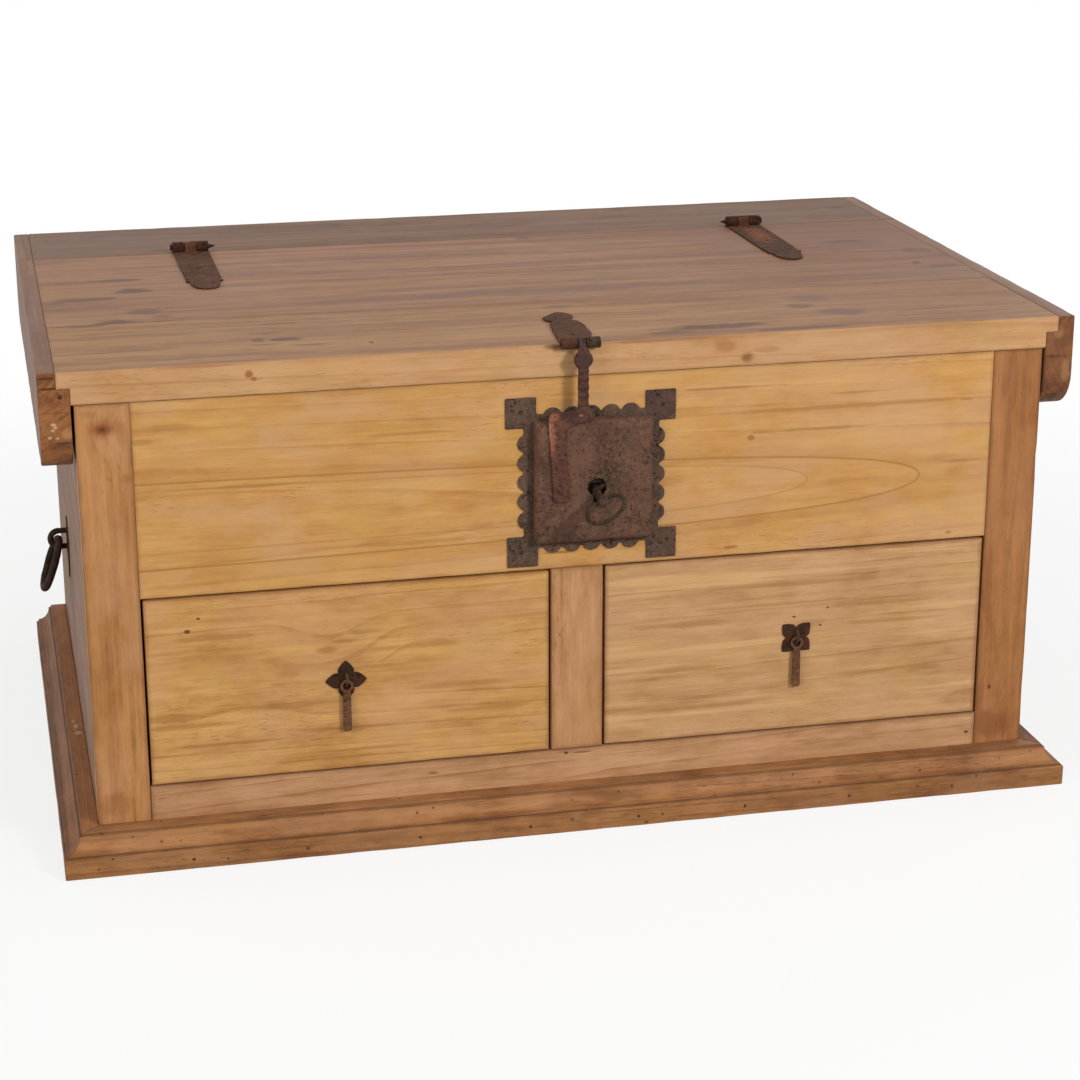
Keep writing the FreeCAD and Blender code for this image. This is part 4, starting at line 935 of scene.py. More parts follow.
def hasp_arm():
    """An eye on the pin, a disc, a ribbed neck and the cranked, leaning bar."""
    front = -312.3
    back = -309.8
    x = 1.5
    half = 5.2
    bm = bmesh.new()
    shape = [
        (x - half, 483.6),
        (x - half, 434.0),
        (-21.0, 432.6),
        (-27.0, 433.4),
        (-33.0, 424.0, 9.6, 1),
        (-28.0, 344.0),
        (-26.0, 342.0),
        (-13.0, 342.0),
        (-11.6, 344.0),
        (-16.1, 411.0),
        (-12.0, 417.0, 6.0, -1),
        (0.8, 421.0),
        (11.0, 422.4),
        (11.6, 426.0),
        (x + half, 437.0),
        (x + half, 483.6),
    ]
    slab(bm, shape, back - front, at(0, back, 0, "front"), ease=1.5)
    rod(bm, (x, back, 483.6), (x, front - 0.6, 483.6), 9.8, 8.4, segments=28)
    rod(bm, (x, back, 490.0), (x, front + 0.6, 490.0), 6.6, 5.6, segments=24)
    for rib in range(5):
        z = 440.0 + rib * 8.2
        rod(bm, (x - half - 0.2, front + 1.1, z), (x + half + 0.2, front + 1.1, z), 2.1, segments=12)
    rod(bm, (-2.0, *HASP_PIN), (5.0, *HASP_PIN), 5.5, segments=24)
    shoulder = [
        (front, 484.6),
        (front, 492.1),
        (-302.5, 503.7),
        (-307.0, HASP_PIN[1]),
        (back, 489.6),
        (back, 484.6),
    ]
    slab(bm, shoulder[::-1], 7.0, at(-2.0, 0, 0, "side"))
    for low_z, high_z in ((352.0, 354.6), (373.4, 376.0)):
        block(bm, (-23.0, -310.3, low_z), (-18.0, -299.0, high_z))
    block(bm, (-23.0, -301.6, 352.0), (-18.0, -299.0, 376.0))
    cuts = bmesh.new()
    rod(cuts, (-4.0, *HASP_PIN), (7.0, *HASP_PIN), 2.5, segments=20)
    forge("hasp_arm", bm, "hasp", ARM_IRON, 0.6, cuts, dent=0.35, pit=0.1, seed=7)


def hasp_leaf():
    """The leaf nailed to the lid, cut like a bird with a pinched neck."""
    x = 1.5
    left, right = -20.0, 7.0
    bm = bmesh.new()
    shape = [
        (left, -6.0),
        (right, -6.0),
        (right, -1.5),
        (14.0, 8.0),
        (20.0, 32.0),
        (21.0, 67.0),
        (18.5, 84.0),
        (13.5, 90.0),
        (16.0, 98.0, 30.0, 1),
        (4.0, 123.0, 16.0, 1),
        (-13.0, 104.0),
        (-12.5, 92.0),
        (-5.5, 87.0),
        (-11.0, 80.0),
        (-14.5, 54.0),
    ]
    slab(bm, shape, 2.2, at(x, CASE_FRONT, TOP, "up"))
    rod(bm, (-18.5, *HASP_PIN), (-2.9, *HASP_PIN), 5.5, segments=24)
    rod(bm, (5.9, *HASP_PIN), (8.9, *HASP_PIN), 5.5, segments=24)
    cuts = bmesh.new()
    block(cuts, (-2.9, -307.8, 494.6), (5.9, -291.0, 499.8))
    rod(cuts, (-22.0, *HASP_PIN), (12.0, *HASP_PIN), 2.5, segments=20)
    forge("hasp_leaf", bm, "lid", LEAF_IRON, 0.65, cuts, dent=0.3, pit=0.12, seed=9)


def hasp_pin():
    bm = bmesh.new()
    rod(bm, (-19.5, *HASP_PIN), (9.0, *HASP_PIN), 2.35)
    rod(bm, (8.8, *HASP_PIN), (20.0, *HASP_PIN), 5.2, 5.6, segments=24)
    ball(bm, (18.0, *HASP_PIN), (2.6, 5.4, 5.4))
    forge("hasp_pin", bm, "lid", PIN_IRON, 0.55, dent=0.3, pit=0.1, seed=11)


def lid_hinge(side):
    """An eared strap that rolls into the middle knuckle."""
    hand = "left" if side < 0 else "right"
    x = HINGE_X * side
    half = 20.0
    ear = -150.0
    shape = [(half, 0), (half - 1, ear + 3), (half - 4, ear - 2), (half + 0.5, ear - 8)]
    neck = (half - 4.5, ear - 11)
    nose = [neck, (12.2, -187.5, 60.0, -1), (-12.2, -187.5, 12.8, -1), (-neck[0], neck[1], 60.0, -1)]
    shape = shape + nose + [(-px, py) for px, py in shape[::-1]]
    bm = bmesh.new()
    slab(bm, shape, 2.2, at(x, 218.5, TOP, "up"))
    rod(bm, (x - 6.5, *HINGE_BARREL), (x + 6.5, *HINGE_BARREL), 6.1, segments=24)
    block(bm, (x - 6.5, 212.4, 496.1), (x + 6.5, 218.5, 500.0))
    cuts = bmesh.new()
    rod(cuts, (x - 22, *HINGE_PIN), (x + 22, *HINGE_PIN), 3.2, segments=20)
    for low_x, high_x in ((x - 22, x - 6.7), (x + 6.7, x + 22)):
        block(cuts, (low_x, 211.9, 495.0), (high_x, 226, 510))
    block(cuts, (x - 22, 218.5, 495.0), (x + 22, 226, 496.6))
    node = f"{hand}_strap"
    iron = STRAP_IRON[side]
    forge(node, bm, "lid", iron, 0.75, cuts, dent=0.35, pit=0.15, seed=13 + side)


def fixed_leaves():
    bm = bmesh.new()
    cuts = bmesh.new()
    for side in (-1, 1):
        x = HINGE_X * side
        block(bm, (x - 20, 219.5, 468.0), (x + 20, 221.7, 502.3))
        for start in (x - 20, x + 7):
            rod(bm, (start, *HINGE_BARREL), (start + 13, *HINGE_BARREL), 6.1, segments=24)
        block(cuts, (x - 6.8, 211, 495.7), (x + 6.8, 231, 512))
        rod(cuts, (x - 24, *HINGE_PIN), (x + 24, *HINGE_PIN), 2.66, segments=20)
    forge(
        "hinge_fixed_leaves", bm, "root", BARREL_IRON, 0.75, cuts, dent=0.3, pit=0.12, seed=17
    )


def hinge_pins():
    """Forged nails used as pins: the point sticks out of one end."""
    bm = bmesh.new()
    for side, point in ((-1, 1), (1, -1)):
        x = HINGE_X * side
        rod(bm, (x - 21, *HINGE_PIN), (x + 21, *HINGE_PIN), 2.6)
        rod(bm, (x + point * 20.8, *HINGE_PIN), (x + point * 27.8, *HINGE_PIN), 2.6, 0.5)
        rod(bm, (x - point * 21, *HINGE_PIN), (x - point * 22.6, *HINGE_PIN), 4.3, 3.6)
    forge("hinge_pins", bm, "root", BARREL_IRON, 0.5, dent=0.2, pit=0.1, seed=19)


def pull_plate_corners():
    """Four pointed lobes, each widest near its root and drawn out to a tip."""
    corners = []
    for turn in range(4):
        quarter = Matrix.Rotation(math.radians(90 * turn), 2)
        for spot, radius in (((20.6, 0), 30.0), ((12.4, 7.4), 26.0), ((7.0, 7.0), 6.0), ((7.4, 12.4), 6.0)):
            corners.append((*(quarter @ Vector(spot)), radius, 1))
    return corners


def pull(hand, x, z, turned, seed):
    """The plate, the cotter's loop and the hanging drop with its filed notches."""
    face = CASE_FRONT - 1.6
    loop_z = z + 2.0
    out = face - 2.3
    place = at(x, CASE_FRONT + 0.05, z, "front") @ Matrix.Rotation(math.radians(turned), 4, "Z")
    bm = bmesh.new()
    slab(bm, pull_plate_corners(), 1.65, place)
    forge(
        f"{hand}_pull_plate", bm, f"{hand}_drawer", PULL_IRON, 0.45, dent=0.25, pit=0.12,
        seed=seed,
    )

    bm = bmesh.new()
    bent_bar(bm, (x, out, loop_z), (1, 0, 0), (x, out, loop_z + 5.2), 180, 1.2)
    for up in (-1, 1):
        rod(bm, (x, out - 0.1, loop_z + up * 5.2), (x, -271.5, loop_z + up * 5.2), 1.2, segments=12)
    forge(
        f"{hand}_pull_cotter", bm, f"{hand}_drawer", COTTER_IRON, 0.42, dent=0.1, pit=0.06,
        seed=seed + 1,
    )

    top = loop_z - 2.1
    eye_z = top - 5.2
    foot = top - 52.0
    neck = eye_z - 5.2
    bm = bmesh.new()
    bent_bar(bm, (x, out, eye_z), (0, 1, 0), (x + 5.2, out, eye_z), 360, 1.6)
    wide = 4.2
    shape = [
        (-wide + 1.0, foot),
        (wide - 1.0, foot),
        (wide, foot + 2.0),
        (wide - 0.4, neck - 4.0),
        (wide - 0.8, neck + 0.6),
        (-wide + 0.8, neck + 0.6),
        (-wide + 0.4, neck - 4.0),
        (-wide, foot + 2.0),
    ]
    slab(bm, shape, 3.0, at(x, out + 1.5, 0, "front"))
    cuts = bmesh.new()
    for height in (10.5, 14.0, 17.5):
        rod(
            cuts, (x - 6, out - 1.75, foot + height), (x + 1.2, out - 1.75, foot + height + 0.8), 0.75,
            segments=10,
        )
    forge(
        f"{hand}_pull_drop", bm, f"{hand}_drop", DROP_IRON, 0.42, cuts, dent=0.25, pit=0.1,
        seed=seed + 2,
    )


def side_handles():
    """Lozenge plates, staples and hanging rings on both ends of the case."""
    plates = bmesh.new()
    staples = bmesh.new()
    y, staple_z = 104.5, 208.0
    eye_x, ring_radius = 490.0, 28.0
    a, b, tip = 22.0, 35.0, 2.5
    shape = [(a, -tip), (a, tip), (tip, b), (-tip, b), (-a, tip), (-a, -tip), (-tip, -b), (tip, -b)]
    for side in (-1, 1):
        start = -481.1 if side < 0 else 479.95
        slab(plates, shape, 1.15, at(start, y, 198.0, "side"))
        raised = Matrix.Translation(Vector((side * 481.4, y, 198.0)) * MM) @ toward((side, 0, 0))
        bmesh.ops.create_cone(
            plates,
            cap_ends=True,
            segments=4,
            radius1=MM,
            radius2=0.1 * MM,
            depth=1.2 * MM,
            matrix=raised @ Matrix.Diagonal((b * 0.92, a * 0.92, 1, 1)),
        )
        out = side * eye_x
        bent_bar(staples, (out, y, staple_z), (0, side, 0), (out, y, staple_z + 9.0), 180, 3.4)
        for up in (-9.0, 9.0):
            rod(
                staples, (out - side * 0.1, y, staple_z + up), (side * 458.0, y, staple_z + up), 3.1,
                segments=14,
            )
    forge("handle_plates", plates, "root", RING_IRON, 0.7, dent=0.3, pit=0.12, seed=41)
    forge("handle_staples", staples, "root", RING_IRON, 0.6, dent=0.15, pit=0.1, seed=42)
    for hand, side in (("left", -1), ("right", 1)):
        lean = math.radians(20)
        x = side * (eye_x + ring_radius * math.sin(lean))
        z = 206.2 - ring_radius * math.cos(lean)
        axis = (math.cos(lean), 0, side * math.sin(lean))
        bm = bmesh.new()
        bent_bar(bm, (x, y, z), axis, (x, y + ring_radius, z), 360, 4.2, steps=56, segments=16)
        forge(
            f"{hand}_ring", bm, f"{hand}_ring", RING_IRON, 0.7, dent=0.45, pit=0.15,
            seed=43 + side,
        )


def key():
    """A heart-shaped bow of rod on a round shank, drooping out of the keyhole."""
    bm = bmesh.new()
    ring_x = 35.58
    lobe_x, lobe_z = 27.92, 6.43
    cusp = 20.26
    spread = math.radians(140)
    start = (ring_x + 20 * math.cos(spread), 0, -20 * math.sin(spread))
    bent_bar(bm, (ring_x, 0, 0), (0, -1, 0), start, 280, 2.3, steps=48)
    for side in (-1, 1):
        first = (lobe_x + 10 * math.cos(spread), 0, lobe_z * side + side * 10 * math.sin(spread))
        bent_bar(bm, (lobe_x, 0, lobe_z * side), (0, -side, 0), first, 80, 2.3, steps=14)
    rod(bm, (-11, 0, 0), (cusp + 1, 0, 0), 4.0)
    ball(bm, (cusp + 1, 0, 0), (4.6, 4.6, 4.6))
    block(bm, (-9.8, -2, 1), (-4.8, 2, 13))
    place = (
        Matrix.Translation(Vector((16.2, -309.5, 349.3)) * MM)
        @ Matrix.Rotation(math.radians(-90), 4, "Z")
        @ Matrix.Rotation(math.radians(10), 4, "Y")
        @ Matrix.Rotation(math.radians(-60), 4, "X")
    )
    bmesh.ops.transform(bm, matrix=place, verts=bm.verts)
    forge("key", bm, "key", KEY_IRON, 0.5, dent=0.3, pit=0.1, seed=51)


def nail_heads(node, body, material, seed):
    """Domed, hammered heads where the CAD's nails are."""
    rng = random.Random(seed)
    bm = bmesh.new()
    for low, high in loose_parts(node):
        size = high - low
        middle = (low + high) / 2
        axis = max(range(3), key=lambda i: size[i]) if max(size) > 6 else min(range(3), key=lambda i: size[i])
        radius = sorted(size)[1] / 2 if max(size) <= 6 else min(size) / 2
        outward = 1 if axis == 2 else -1
        face = high[axis] if outward > 0 else low[axis]
        centre = middle.copy()
        centre[axis] = face - outward * 1.3
        radii = [radius, radius, radius]
        radii[axis] = 1.3
        verts = ball(bm, centre, radii, segments=12)
        tilt = Matrix.Rotation(rng.uniform(-0.12, 0.12), 4, "XYZ"[(axis + 1) % 3])
        spot = Vector(centre) * MM
        bmesh.ops.rotate(bm, cent=spot, matrix=tilt, verts=verts)
        for vert in verts:
            vert.co += (vert.co - spot) * rng.uniform(-0.10, 0.0)
    finished(f"{node}_iron", bm, body, material, [node], smooth_below=60)


# ---------------------------------------------------------------- studio and camera


def camera():
    """The view from the front left and above."""
    azimuth, height, roll = (math.radians(a) for a in (-12.735, 18.208, -0.140))
    back = Vector(
        (
            math.sin(azimuth) * math.cos(height),
            -math.cos(azimuth) * math.cos(height),
            math.sin(height),
        )
    )
    level = Vector((math.cos(azimuth), math.sin(azimuth), 0))
    upright = back.cross(level)
    right = level * math.cos(roll) + upright * math.sin(roll)
    up = upright * math.cos(roll) - level * math.sin(roll)
    lens = bpy.data.cameras.new("camera")
    lens.lens = 85.41
    lens.sensor_width = 36
    lens.sensor_fit = "HORIZONTAL"
    lens.clip_end = 60
    view = bpy.data.objects.new("camera", lens)
    turn = Matrix((right, up, back)).transposed().to_4x4()
    view.matrix_world = Matrix.Translation((-0.56394, -2.62223, 1.08509)) @ turn
    bpy.context.scene.collection.objects.link(view)
    bpy.context.scene.camera = view


def soft_lamp(name, place, aim, size, power):
    lamp = bpy.data.lights.new(name, "AREA")
    lamp.shape = "SQUARE"
    lamp.size = size
    lamp.energy = power
    holder = bpy.data.objects.new(name, lamp)
    facing = (Vector(aim) - Vector(place)).to_track_quat("-Z", "Y")
    holder.matrix_world = Matrix.Translation(place) @ facing.to_matrix().to_4x4()
    bpy.context.scene.collection.objects.link(holder)


def studio():
    """A white floor and surround, and three soft lamps."""
    f = Finish("white floor")
    seen = f.node("LightPath", out="Is Camera Ray")
    mirrored = f.node("LightPath", out="Is Glossy Ray")
    shown = seen.math("MAXIMUM", seen, mirrored)
    speckle = f.noise(f.place, 60.0, 3.0)
    pale = f.mix(shown, f.mix(speckle, (0.40, 0.40, 0.40), (0.42, 0.42, 0.42)), (0.80, 0.80, 0.80))
    f.finish(colour=pale, rough=0.9)
    f.shader.inputs["Specular IOR Level"].default_value = 0.0
    glow = f.node("Emission", None, {"Color": (1.0, 1.0, 1.0), "Strength": 1.0})
    plain = Wire(f, f.shader.outputs[0])
    away = f.step(f.length(f.place), 0.75, 1.9)
    lifted = f.node("MixShader", None, {0: shown * (0.78 + away * 0.22), 1: plain, 2: glow})
    f.feed(f.tree.nodes["Material Output"].inputs["Surface"], lifted)
    bm = bmesh.new()
    bmesh.ops.create_grid(bm, x_segments=4, y_segments=4, size=30)
    mesh = bpy.data.meshes.new("floor")
    bm.to_mesh(mesh)
    bm.free()
    mesh.materials.append(f.material)
    floor = bpy.data.objects.new("floor", mesh)
    bpy.context.scene.collection.objects.link(floor)

    world = bpy.data.worlds.new("surround")
    bpy.context.scene.world = world
    world.use_nodes = True
    tree = world.node_tree
    path = tree.nodes.new("ShaderNodeLightPath")
    either = tree.nodes.new("ShaderNodeMath")
    either.operation = "MAXIMUM"
    tree.links.new(path.outputs["Is Camera Ray"], either.inputs[0])
    tree.links.new(path.outputs["Is Glossy Ray"], either.inputs[1])
    level = tree.nodes.new("ShaderNodeMapRange")
    tree.links.new(either.outputs[0], level.inputs[0])
    level.inputs[3].default_value = 0.42
    level.inputs[4].default_value = 1.0
    ground = tree.nodes["Background"]
    ground.inputs["Color"].default_value = (1.0, 1.0, 1.0, 1.0)
    tree.links.new(level.outputs[0], ground.inputs["Strength"])

    soft_lamp("left soft box", (-3.0, -2.2, 1.7), (0, 0, 0.25), 1.8, 46)
    soft_lamp("right soft box", (1.9, -3.3, 2.0), (0, 0, 0.25), 0.7, 88)
    soft_lamp("left back fill", (-2.6, 2.7, 1.4), (0, 0, 0.25), 1.6, 15)
    soft_lamp("right back fill", (2.6, 2.7, 1.4), (0, 0, 0.25), 1.6, 15)
    soft_lamp("top soft box", (0.0, -0.4, 3.4), (0, 0, 0.3), 2.0, 22)


# ---------------------------------------------------------------- finishes

GREY_SIDE = ((0.232, 0.108, 0.050), (0.126, 0.054, 0.025))
BLACK_CRACK = (0.045, 0.018, 0.007)
PALE_CHIP = (0.64, 0.46, 0.26)
RUST_STAIN = (0.15, 0.048, 0.012)


def front_board_finish():
    return pine(
        "upper board pine", "x", "y", (0.615, 0.333, 0.106), (0.420, 0.185, 0.045),
        pith=(0.337, -0.2185, 0.352), ring=0.016, tilt=-0.030, sway=0.009, lines=0.6, bands=0.85,
        clouds=0.8, blush=(0.570, 0.330, 0.175), blushing=0.5, drift=0.14, box=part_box("upper_front_board"),
        grime_and_shade=0.3, rim=0.004, joint=0.1, flecks=0.6, seed=21, stain=(0.26, 0.110, 0.022),
        tongues=[(0.3534, 0.3400, 0.008, 0.30, 0.75), (0.2352, 0.3440, 0.006, 0.20, 0.35)],
        smudges=[
            (-0.40, 0.437, 0.03, 0.004, 0.35), (-0.42, 0.424, 0.012, 0.003, 0.4),
            (0.157, 0.2775, 0.009, 0.0018, 0.7), (0.3885, 0.2764, 0.004, 0.0022, 0.6),
            (-0.02, 0.2855, 0.02, 0.0015, 0.7), (0.176, 0.3905, 0.004, 0.003, 0.7),
            (0.15, 0.4425, 0.05, 0.0014, 0.5), (0.24, 0.395, 0.08, 0.0022, 0.50),
            (0.26, 0.4165, 0.18, 0.0026, 0.40), (0.28, 0.430, 0.05, 0.0014, 0.4),
            (-0.17, 0.3070, 0.09, 0.0025, 0.35), (0.40, 0.352, 0.025, 0.002, 0.4),
            (-0.16, 0.4165, 0.06, 0.0020, 0.35), (-0.33, 0.3748, 0.06, 0.0022, 0.35),
            (0.4013, 0.4157, 0.01, 0.0015, 0.5),
        ],
    )


def drawer_finish(hand):
    left = hand == "left"
    return pine(
        f"{hand} drawer pine", "x", "y",
        (0.622, 0.345, 0.114) if left else (0.565, 0.328, 0.147),
        (0.385, 0.168, 0.042) if left else (0.360, 0.165, 0.058),
        pith=(0.178, -0.245, -0.26) if left else (0.09, -0.215, 0.25),
        ring=0.013, tilt=0.03, sway=0.018, lines=0.7, bands=0.9 if left else 1.25, clouds=0.9,
        shine=0.15 if left else 0.55, joint=0.2, flecks=0.7,
        blush=(0.58, 0.31, 0.160) if left else (0.56, 0.31, 0.170), blushing=0.4,
        box=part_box(f"{hand}_drawer_front"), grime_and_shade=0.45, rim=0.005, seed=23 if left else 38,
        stain=(0.30, 0.13, 0.030),
        swirls=[(-0.245, 0.205, 0.036, 0.015), (-0.320, 0.170, 0.040, 0.010)] if left else [],
        dots=[(-0.3855, 0.2328, 0.0022), (-0.3744, 0.2452, 0.0014)] if left
        else [(0.2265, 0.1977, 0.0014), (0.2546, 0.1867, 0.0012), (0.262, 0.205, 0.001)],
        smudges=[
            (-0.2512, 0.2029, 0.012, 0.0045, 0.60), (-0.236, 0.211, 0.016, 0.003, 0.50),
            (-0.214, 0.219, 0.016, 0.003, 0.45), (-0.296, 0.1484, 0.060, 0.0040, 0.50),
            (-0.288, 0.180, 0.012, 0.003, 0.35), (-0.299, 0.170, 0.008, 0.003, 0.3),
            (-0.350, 0.2245, 0.055, 0.0032, 0.50), (-0.385, 0.1352, 0.060, 0.0030, 0.45),
            (-0.406, 0.147, 0.03, 0.003, 0.4), (-0.350, 0.1138, 0.060, 0.0018, 0.60),
            (-0.415, 0.1055, 0.05, 0.0014, 0.5), (-0.217, 0.119, 0.06, 0.002, 0.45),
            (-0.22, 0.096, 0.06, 0.0016, 0.5), (-0.19, 0.182, 0.03, 0.003, 0.40),
            (-0.116, 0.156, 0.06, 0.0035, 0.40), (-0.090, 0.128, 0.06, 0.0025, 0.40),
            (-0.16, 0.200, 0.05, 0.0030, 0.35),
        ] if left
        else [
            (0.12, 0.199, 0.07, 0.004, 0.45), (0.10, 0.151, 0.06, 0.003, 0.4),
            (0.13, 0.1087, 0.07, 0.003, 0.45), (0.33, 0.206, 0.07, 0.0028, 0.5),
            (0.22, 0.2343, 0.12, 0.003, 0.45), (0.22, 0.213, 0.10, 0.0022, 0.4),
            (0.33, 0.186, 0.06, 0.0022, 0.4), (0.30, 0.132, 0.07, 0.003, 0.35),
        ],
    )


def post_finish(hand):
    left = hand == "left"
    return pine(
        f"{hand} post pine", "z", "y",
        (0.500, 0.236, 0.084) if left else (0.405, 0.168, 0.054),
        (0.290, 0.108, 0.029) if left else (0.225, 0.080, 0.021),
        pith=(-0.47, -0.26, 0.2) if left else (0.44, -0.25, 0.2),
        ring=0.009, tilt=0.03, sway=0.012, lines=0.7, bands=1.3, clouds=1.0, shine=0.3, joint=0.15,
        blush=(0.52, 0.275, 0.140) if left else (0.38, 0.165, 0.068), blushing=0.4,
        box=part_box(f"front_{hand}_post"), grime_and_shade=0.4, rim=0.005,
        swirls=[(0.439, -0.455, 0.022, 0.014), (0.390, -0.436, 0.012, 0.006)] if left else [],
        dots=[] if left else [(0.102, 0.4427, 0.002)],
        spots=[
            (-0.456, CASE_FACE, 0.4392, 0.017, 0.02, 0.0125, 0.75, (0.33, 0.115, 0.034)),
            (-0.455, CASE_FACE, 0.4388, 0.010, 0.02, 0.0066, 0.85, (0.19, 0.052, 0.016)),
            (-0.455, CASE_FACE, 0.4388, 0.004, 0.02, 0.0026, 0.80, (0.10, 0.028, 0.010)),
            (-0.436, CASE_FACE, 0.4310, 0.006, 0.02, 0.0120, 0.40, (0.34, 0.130, 0.042)),
            (-0.466, CASE_FACE, 0.4540, 0.010, 0.02, 0.0040, 0.45, (0.33, 0.125, 0.040)),
            (-0.436, CASE_FACE, 0.3900, 0.007, 0.02, 0.0060, 0.45, (0.30, 0.110, 0.035)),
            (-0.462, CASE_FACE, 0.0600, 0.020, 0.02, 0.0140, 0.35, (0.24, 0.085, 0.026)),
        ] if left else [
            (0.445, CASE_FACE, 0.0600, 0.030, 0.02, 0.0180, 0.60, (0.19, 0.066, 0.020)),
            (0.432, CASE_FACE, 0.0920, 0.006, 0.02, 0.0200, 0.45, (0.19, 0.066, 0.020)),
            (0.448, CASE_FACE, 0.3600, 0.004, 0.02, 0.0900, 0.35, (0.20, 0.072, 0.022)),
            (0.437, CASE_FACE, 0.2100, 0.004, 0.02, 0.0600, 0.35, (0.20, 0.072, 0.022)),
        ],
        seed=29 if left else 31,
    )


TOP_TONES = {
    "lid_front_board": ((0.350, 0.190, 0.093), (0.196, 0.100, 0.051), 0.30),
    "lid_middle_board": ((0.314, 0.169, 0.094), (0.174, 0.088, 0.051), 0.45),
    "lid_rear_board": ((0.328, 0.176, 0.102), (0.176, 0.088, 0.053), 0.80),
    "rear_rail": ((0.214, 0.121, 0.073), (0.118, 0.063, 0.040), 0.25),
}
MAUVE = (0.145, 0.085, 0.070)
TOP_STAINS = [
    (-0.4126, 0.0891, 0.026, 0.006, 0.60), (-0.3990, 0.0345, 0.020, 0.010, 0.80),
    (-0.4523, 0.0039, 0.032, 0.008, 0.60), (-0.4834, -0.0091, 0.014, 0.006, 0.40),
    (-0.4716, -0.1096, 0.028, 0.010, 0.60), (-0.4259, -0.1088, 0.020, 0.012, 0.75),
    (-0.3962, -0.0636, 0.018, 0.008, 0.50), (-0.3790, -0.0900, 0.012, 0.006, 0.40),
    (-0.3900, 0.0, 0.030, 0.004, 0.30), (-0.2717, -0.2124, 0.017, 0.0055, 0.80),
    (-0.2973, -0.2105, 0.008, 0.006, 0.60), (-0.2511, -0.2394, 0.018, 0.003, 0.50),
    (-0.2900, -0.1850, 0.014, 0.004, 0.35), (-0.2680, -0.1480, 0.022, 0.003, 0.30),
    (-0.2950, -0.2300, 0.016, 0.003, 0.35), (-0.1922, -0.2451, 0.003, 0.005, 0.70),
    (0.1489, -0.2596, 0.055, 0.009, 0.70), (0.2250, -0.2840, 0.050, 0.004, 0.60),
    (0.1000, -0.2720, 0.030, 0.005, 0.50), (0.2570, -0.1926, 0.014, 0.009, 0.50),
    (0.4070, 0.1049, 0.024, 0.006, 0.60), (0.4715, 0.0420, 0.020, 0.010, 0.50),
    (0.4469, -0.0199, 0.005, 0.006, 0.80), (0.4693, -0.0448, 0.026, 0.006, 0.65),
    (0.0563, 0.2090, 0.010, 0.006, 0.50), (-0.1403, 0.3313, 0.012, 0.010, 0.60),
    (0.2045, 0.3526, 0.013, 0.006, 0.70), (0.1930, 0.3079, 0.026, 0.008, 0.50),
    (0.4673, 0.3028, 0.014, 0.008, 0.60), (-0.3200, -0.2880, 0.050, 0.0025, 0.40),
    (0.0200, -0.2900, 0.040, 0.002, 0.40),
]
TOP_CLOUDS = [
    (-0.4400, 0.2900, 0.160, 0.080, 0.40), (-0.2400, 0.3000, 0.100, 0.080, 0.20),
    (0.2898, -0.2264, 0.030, 0.017, 0.80), (0.2763, -0.1613, 0.024, 0.018, 0.60),
    (0.4332, 0.0890, 0.026, 0.022, 0.45), (0.0154, -0.1384, 0.018, 0.009, 0.50),
    (0.0438, -0.1218, 0.010, 0.006, 0.50), (-0.4153, 0.3306, 0.020, 0.012, 0.70),
    (-0.3998, 0.2783, 0.022, 0.014, 0.60), (0.0500, -0.0580, 0.320, 0.011, 0.45),
    (0.1000, 0.0750, 0.350, 0.010, 0.35), (-0.2800, 0.0950, 0.090, 0.010, 0.35),
    (0.0000, 0.1500, 0.400, 0.010, 0.35), (0.1000, 0.0200, 0.250, 0.006, 0.35),
]


def lid_finish(node, seed, pith=(0.0, 0.44, 0.0), spots=()):
    """Pine greyed by handling on top, still honey coloured on the lid's front edge."""
    low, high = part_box(node)
    grey, worn, fade = TOP_TONES[node]
    smudges = [
        (x, y, long * 1.15, wide * 1.5, min(strength * 1.15, 0.9))
        for x, y, long, wide, strength in TOP_STAINS
        if low[1] < y < high[1]
    ]
    clouds = [
        (x, y, high[2], long, wide, 0.02, strength, MAUVE)
        for x, y, long, wide, strength in TOP_CLOUDS
        if low[1] - wide < y < high[1] + wide
    ]
    return pine(
        f"{node} pine", "x", "z", (0.600, 0.335, 0.153), (0.425, 0.212, 0.078),
        pith=pith, ring=0.013, tilt=0.02, sway=0.03, lines=1.0, bands=1.0, clouds=0.8,
        blush=(0.555, 0.325, 0.178), blushing=0.4, flecks=0.6, box=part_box(node), grime_and_shade=0.25, rim=0.004,
        weathered=(grey, worn), fade=fade, bare_front=node == "lid_front_board", smudges=smudges,
        stain=(0.100, 0.055, 0.039), spots=[*clouds, *spots], rough=0.62, seed=seed, inside=("z", -1),
    )


def cleat_finish(node, light, dark, blush, seed, spots=()):
    return pine(
        f"{node} pine", "y", "x", light, dark,
        pith=(0.51, -0.53, 0.0) if "left" in node else (0.47, 0.545, 0.0), ring=0.007,
        tilt=0.01, sway=0.010, lines=1.2, bands=1.2, clouds=1.8, blush=blush, blushing=0.5,
        box=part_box(node), grime_and_shade=0.0, bare_front=True,
        weathered=((0.240, 0.132, 0.081), (0.140, 0.073, 0.046)), seed=seed, spots=spots,
    )


def side_finish(node, seed):
    return pine(
        f"{node} pine", "y", "x", GREY_SIDE[0], GREY_SIDE[1],
        pith=(0.20, 0.1, 0.0), ring=0.011, sway=0.04, lines=1.0, bands=1.2, clouds=1.1,
        blush=(0.24, 0.14, 0.085), blushing=0.3, box=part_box(node), grime_and_shade=0.4, seed=seed,
        inside=("x", 1 if "left" in node else -1),
    )


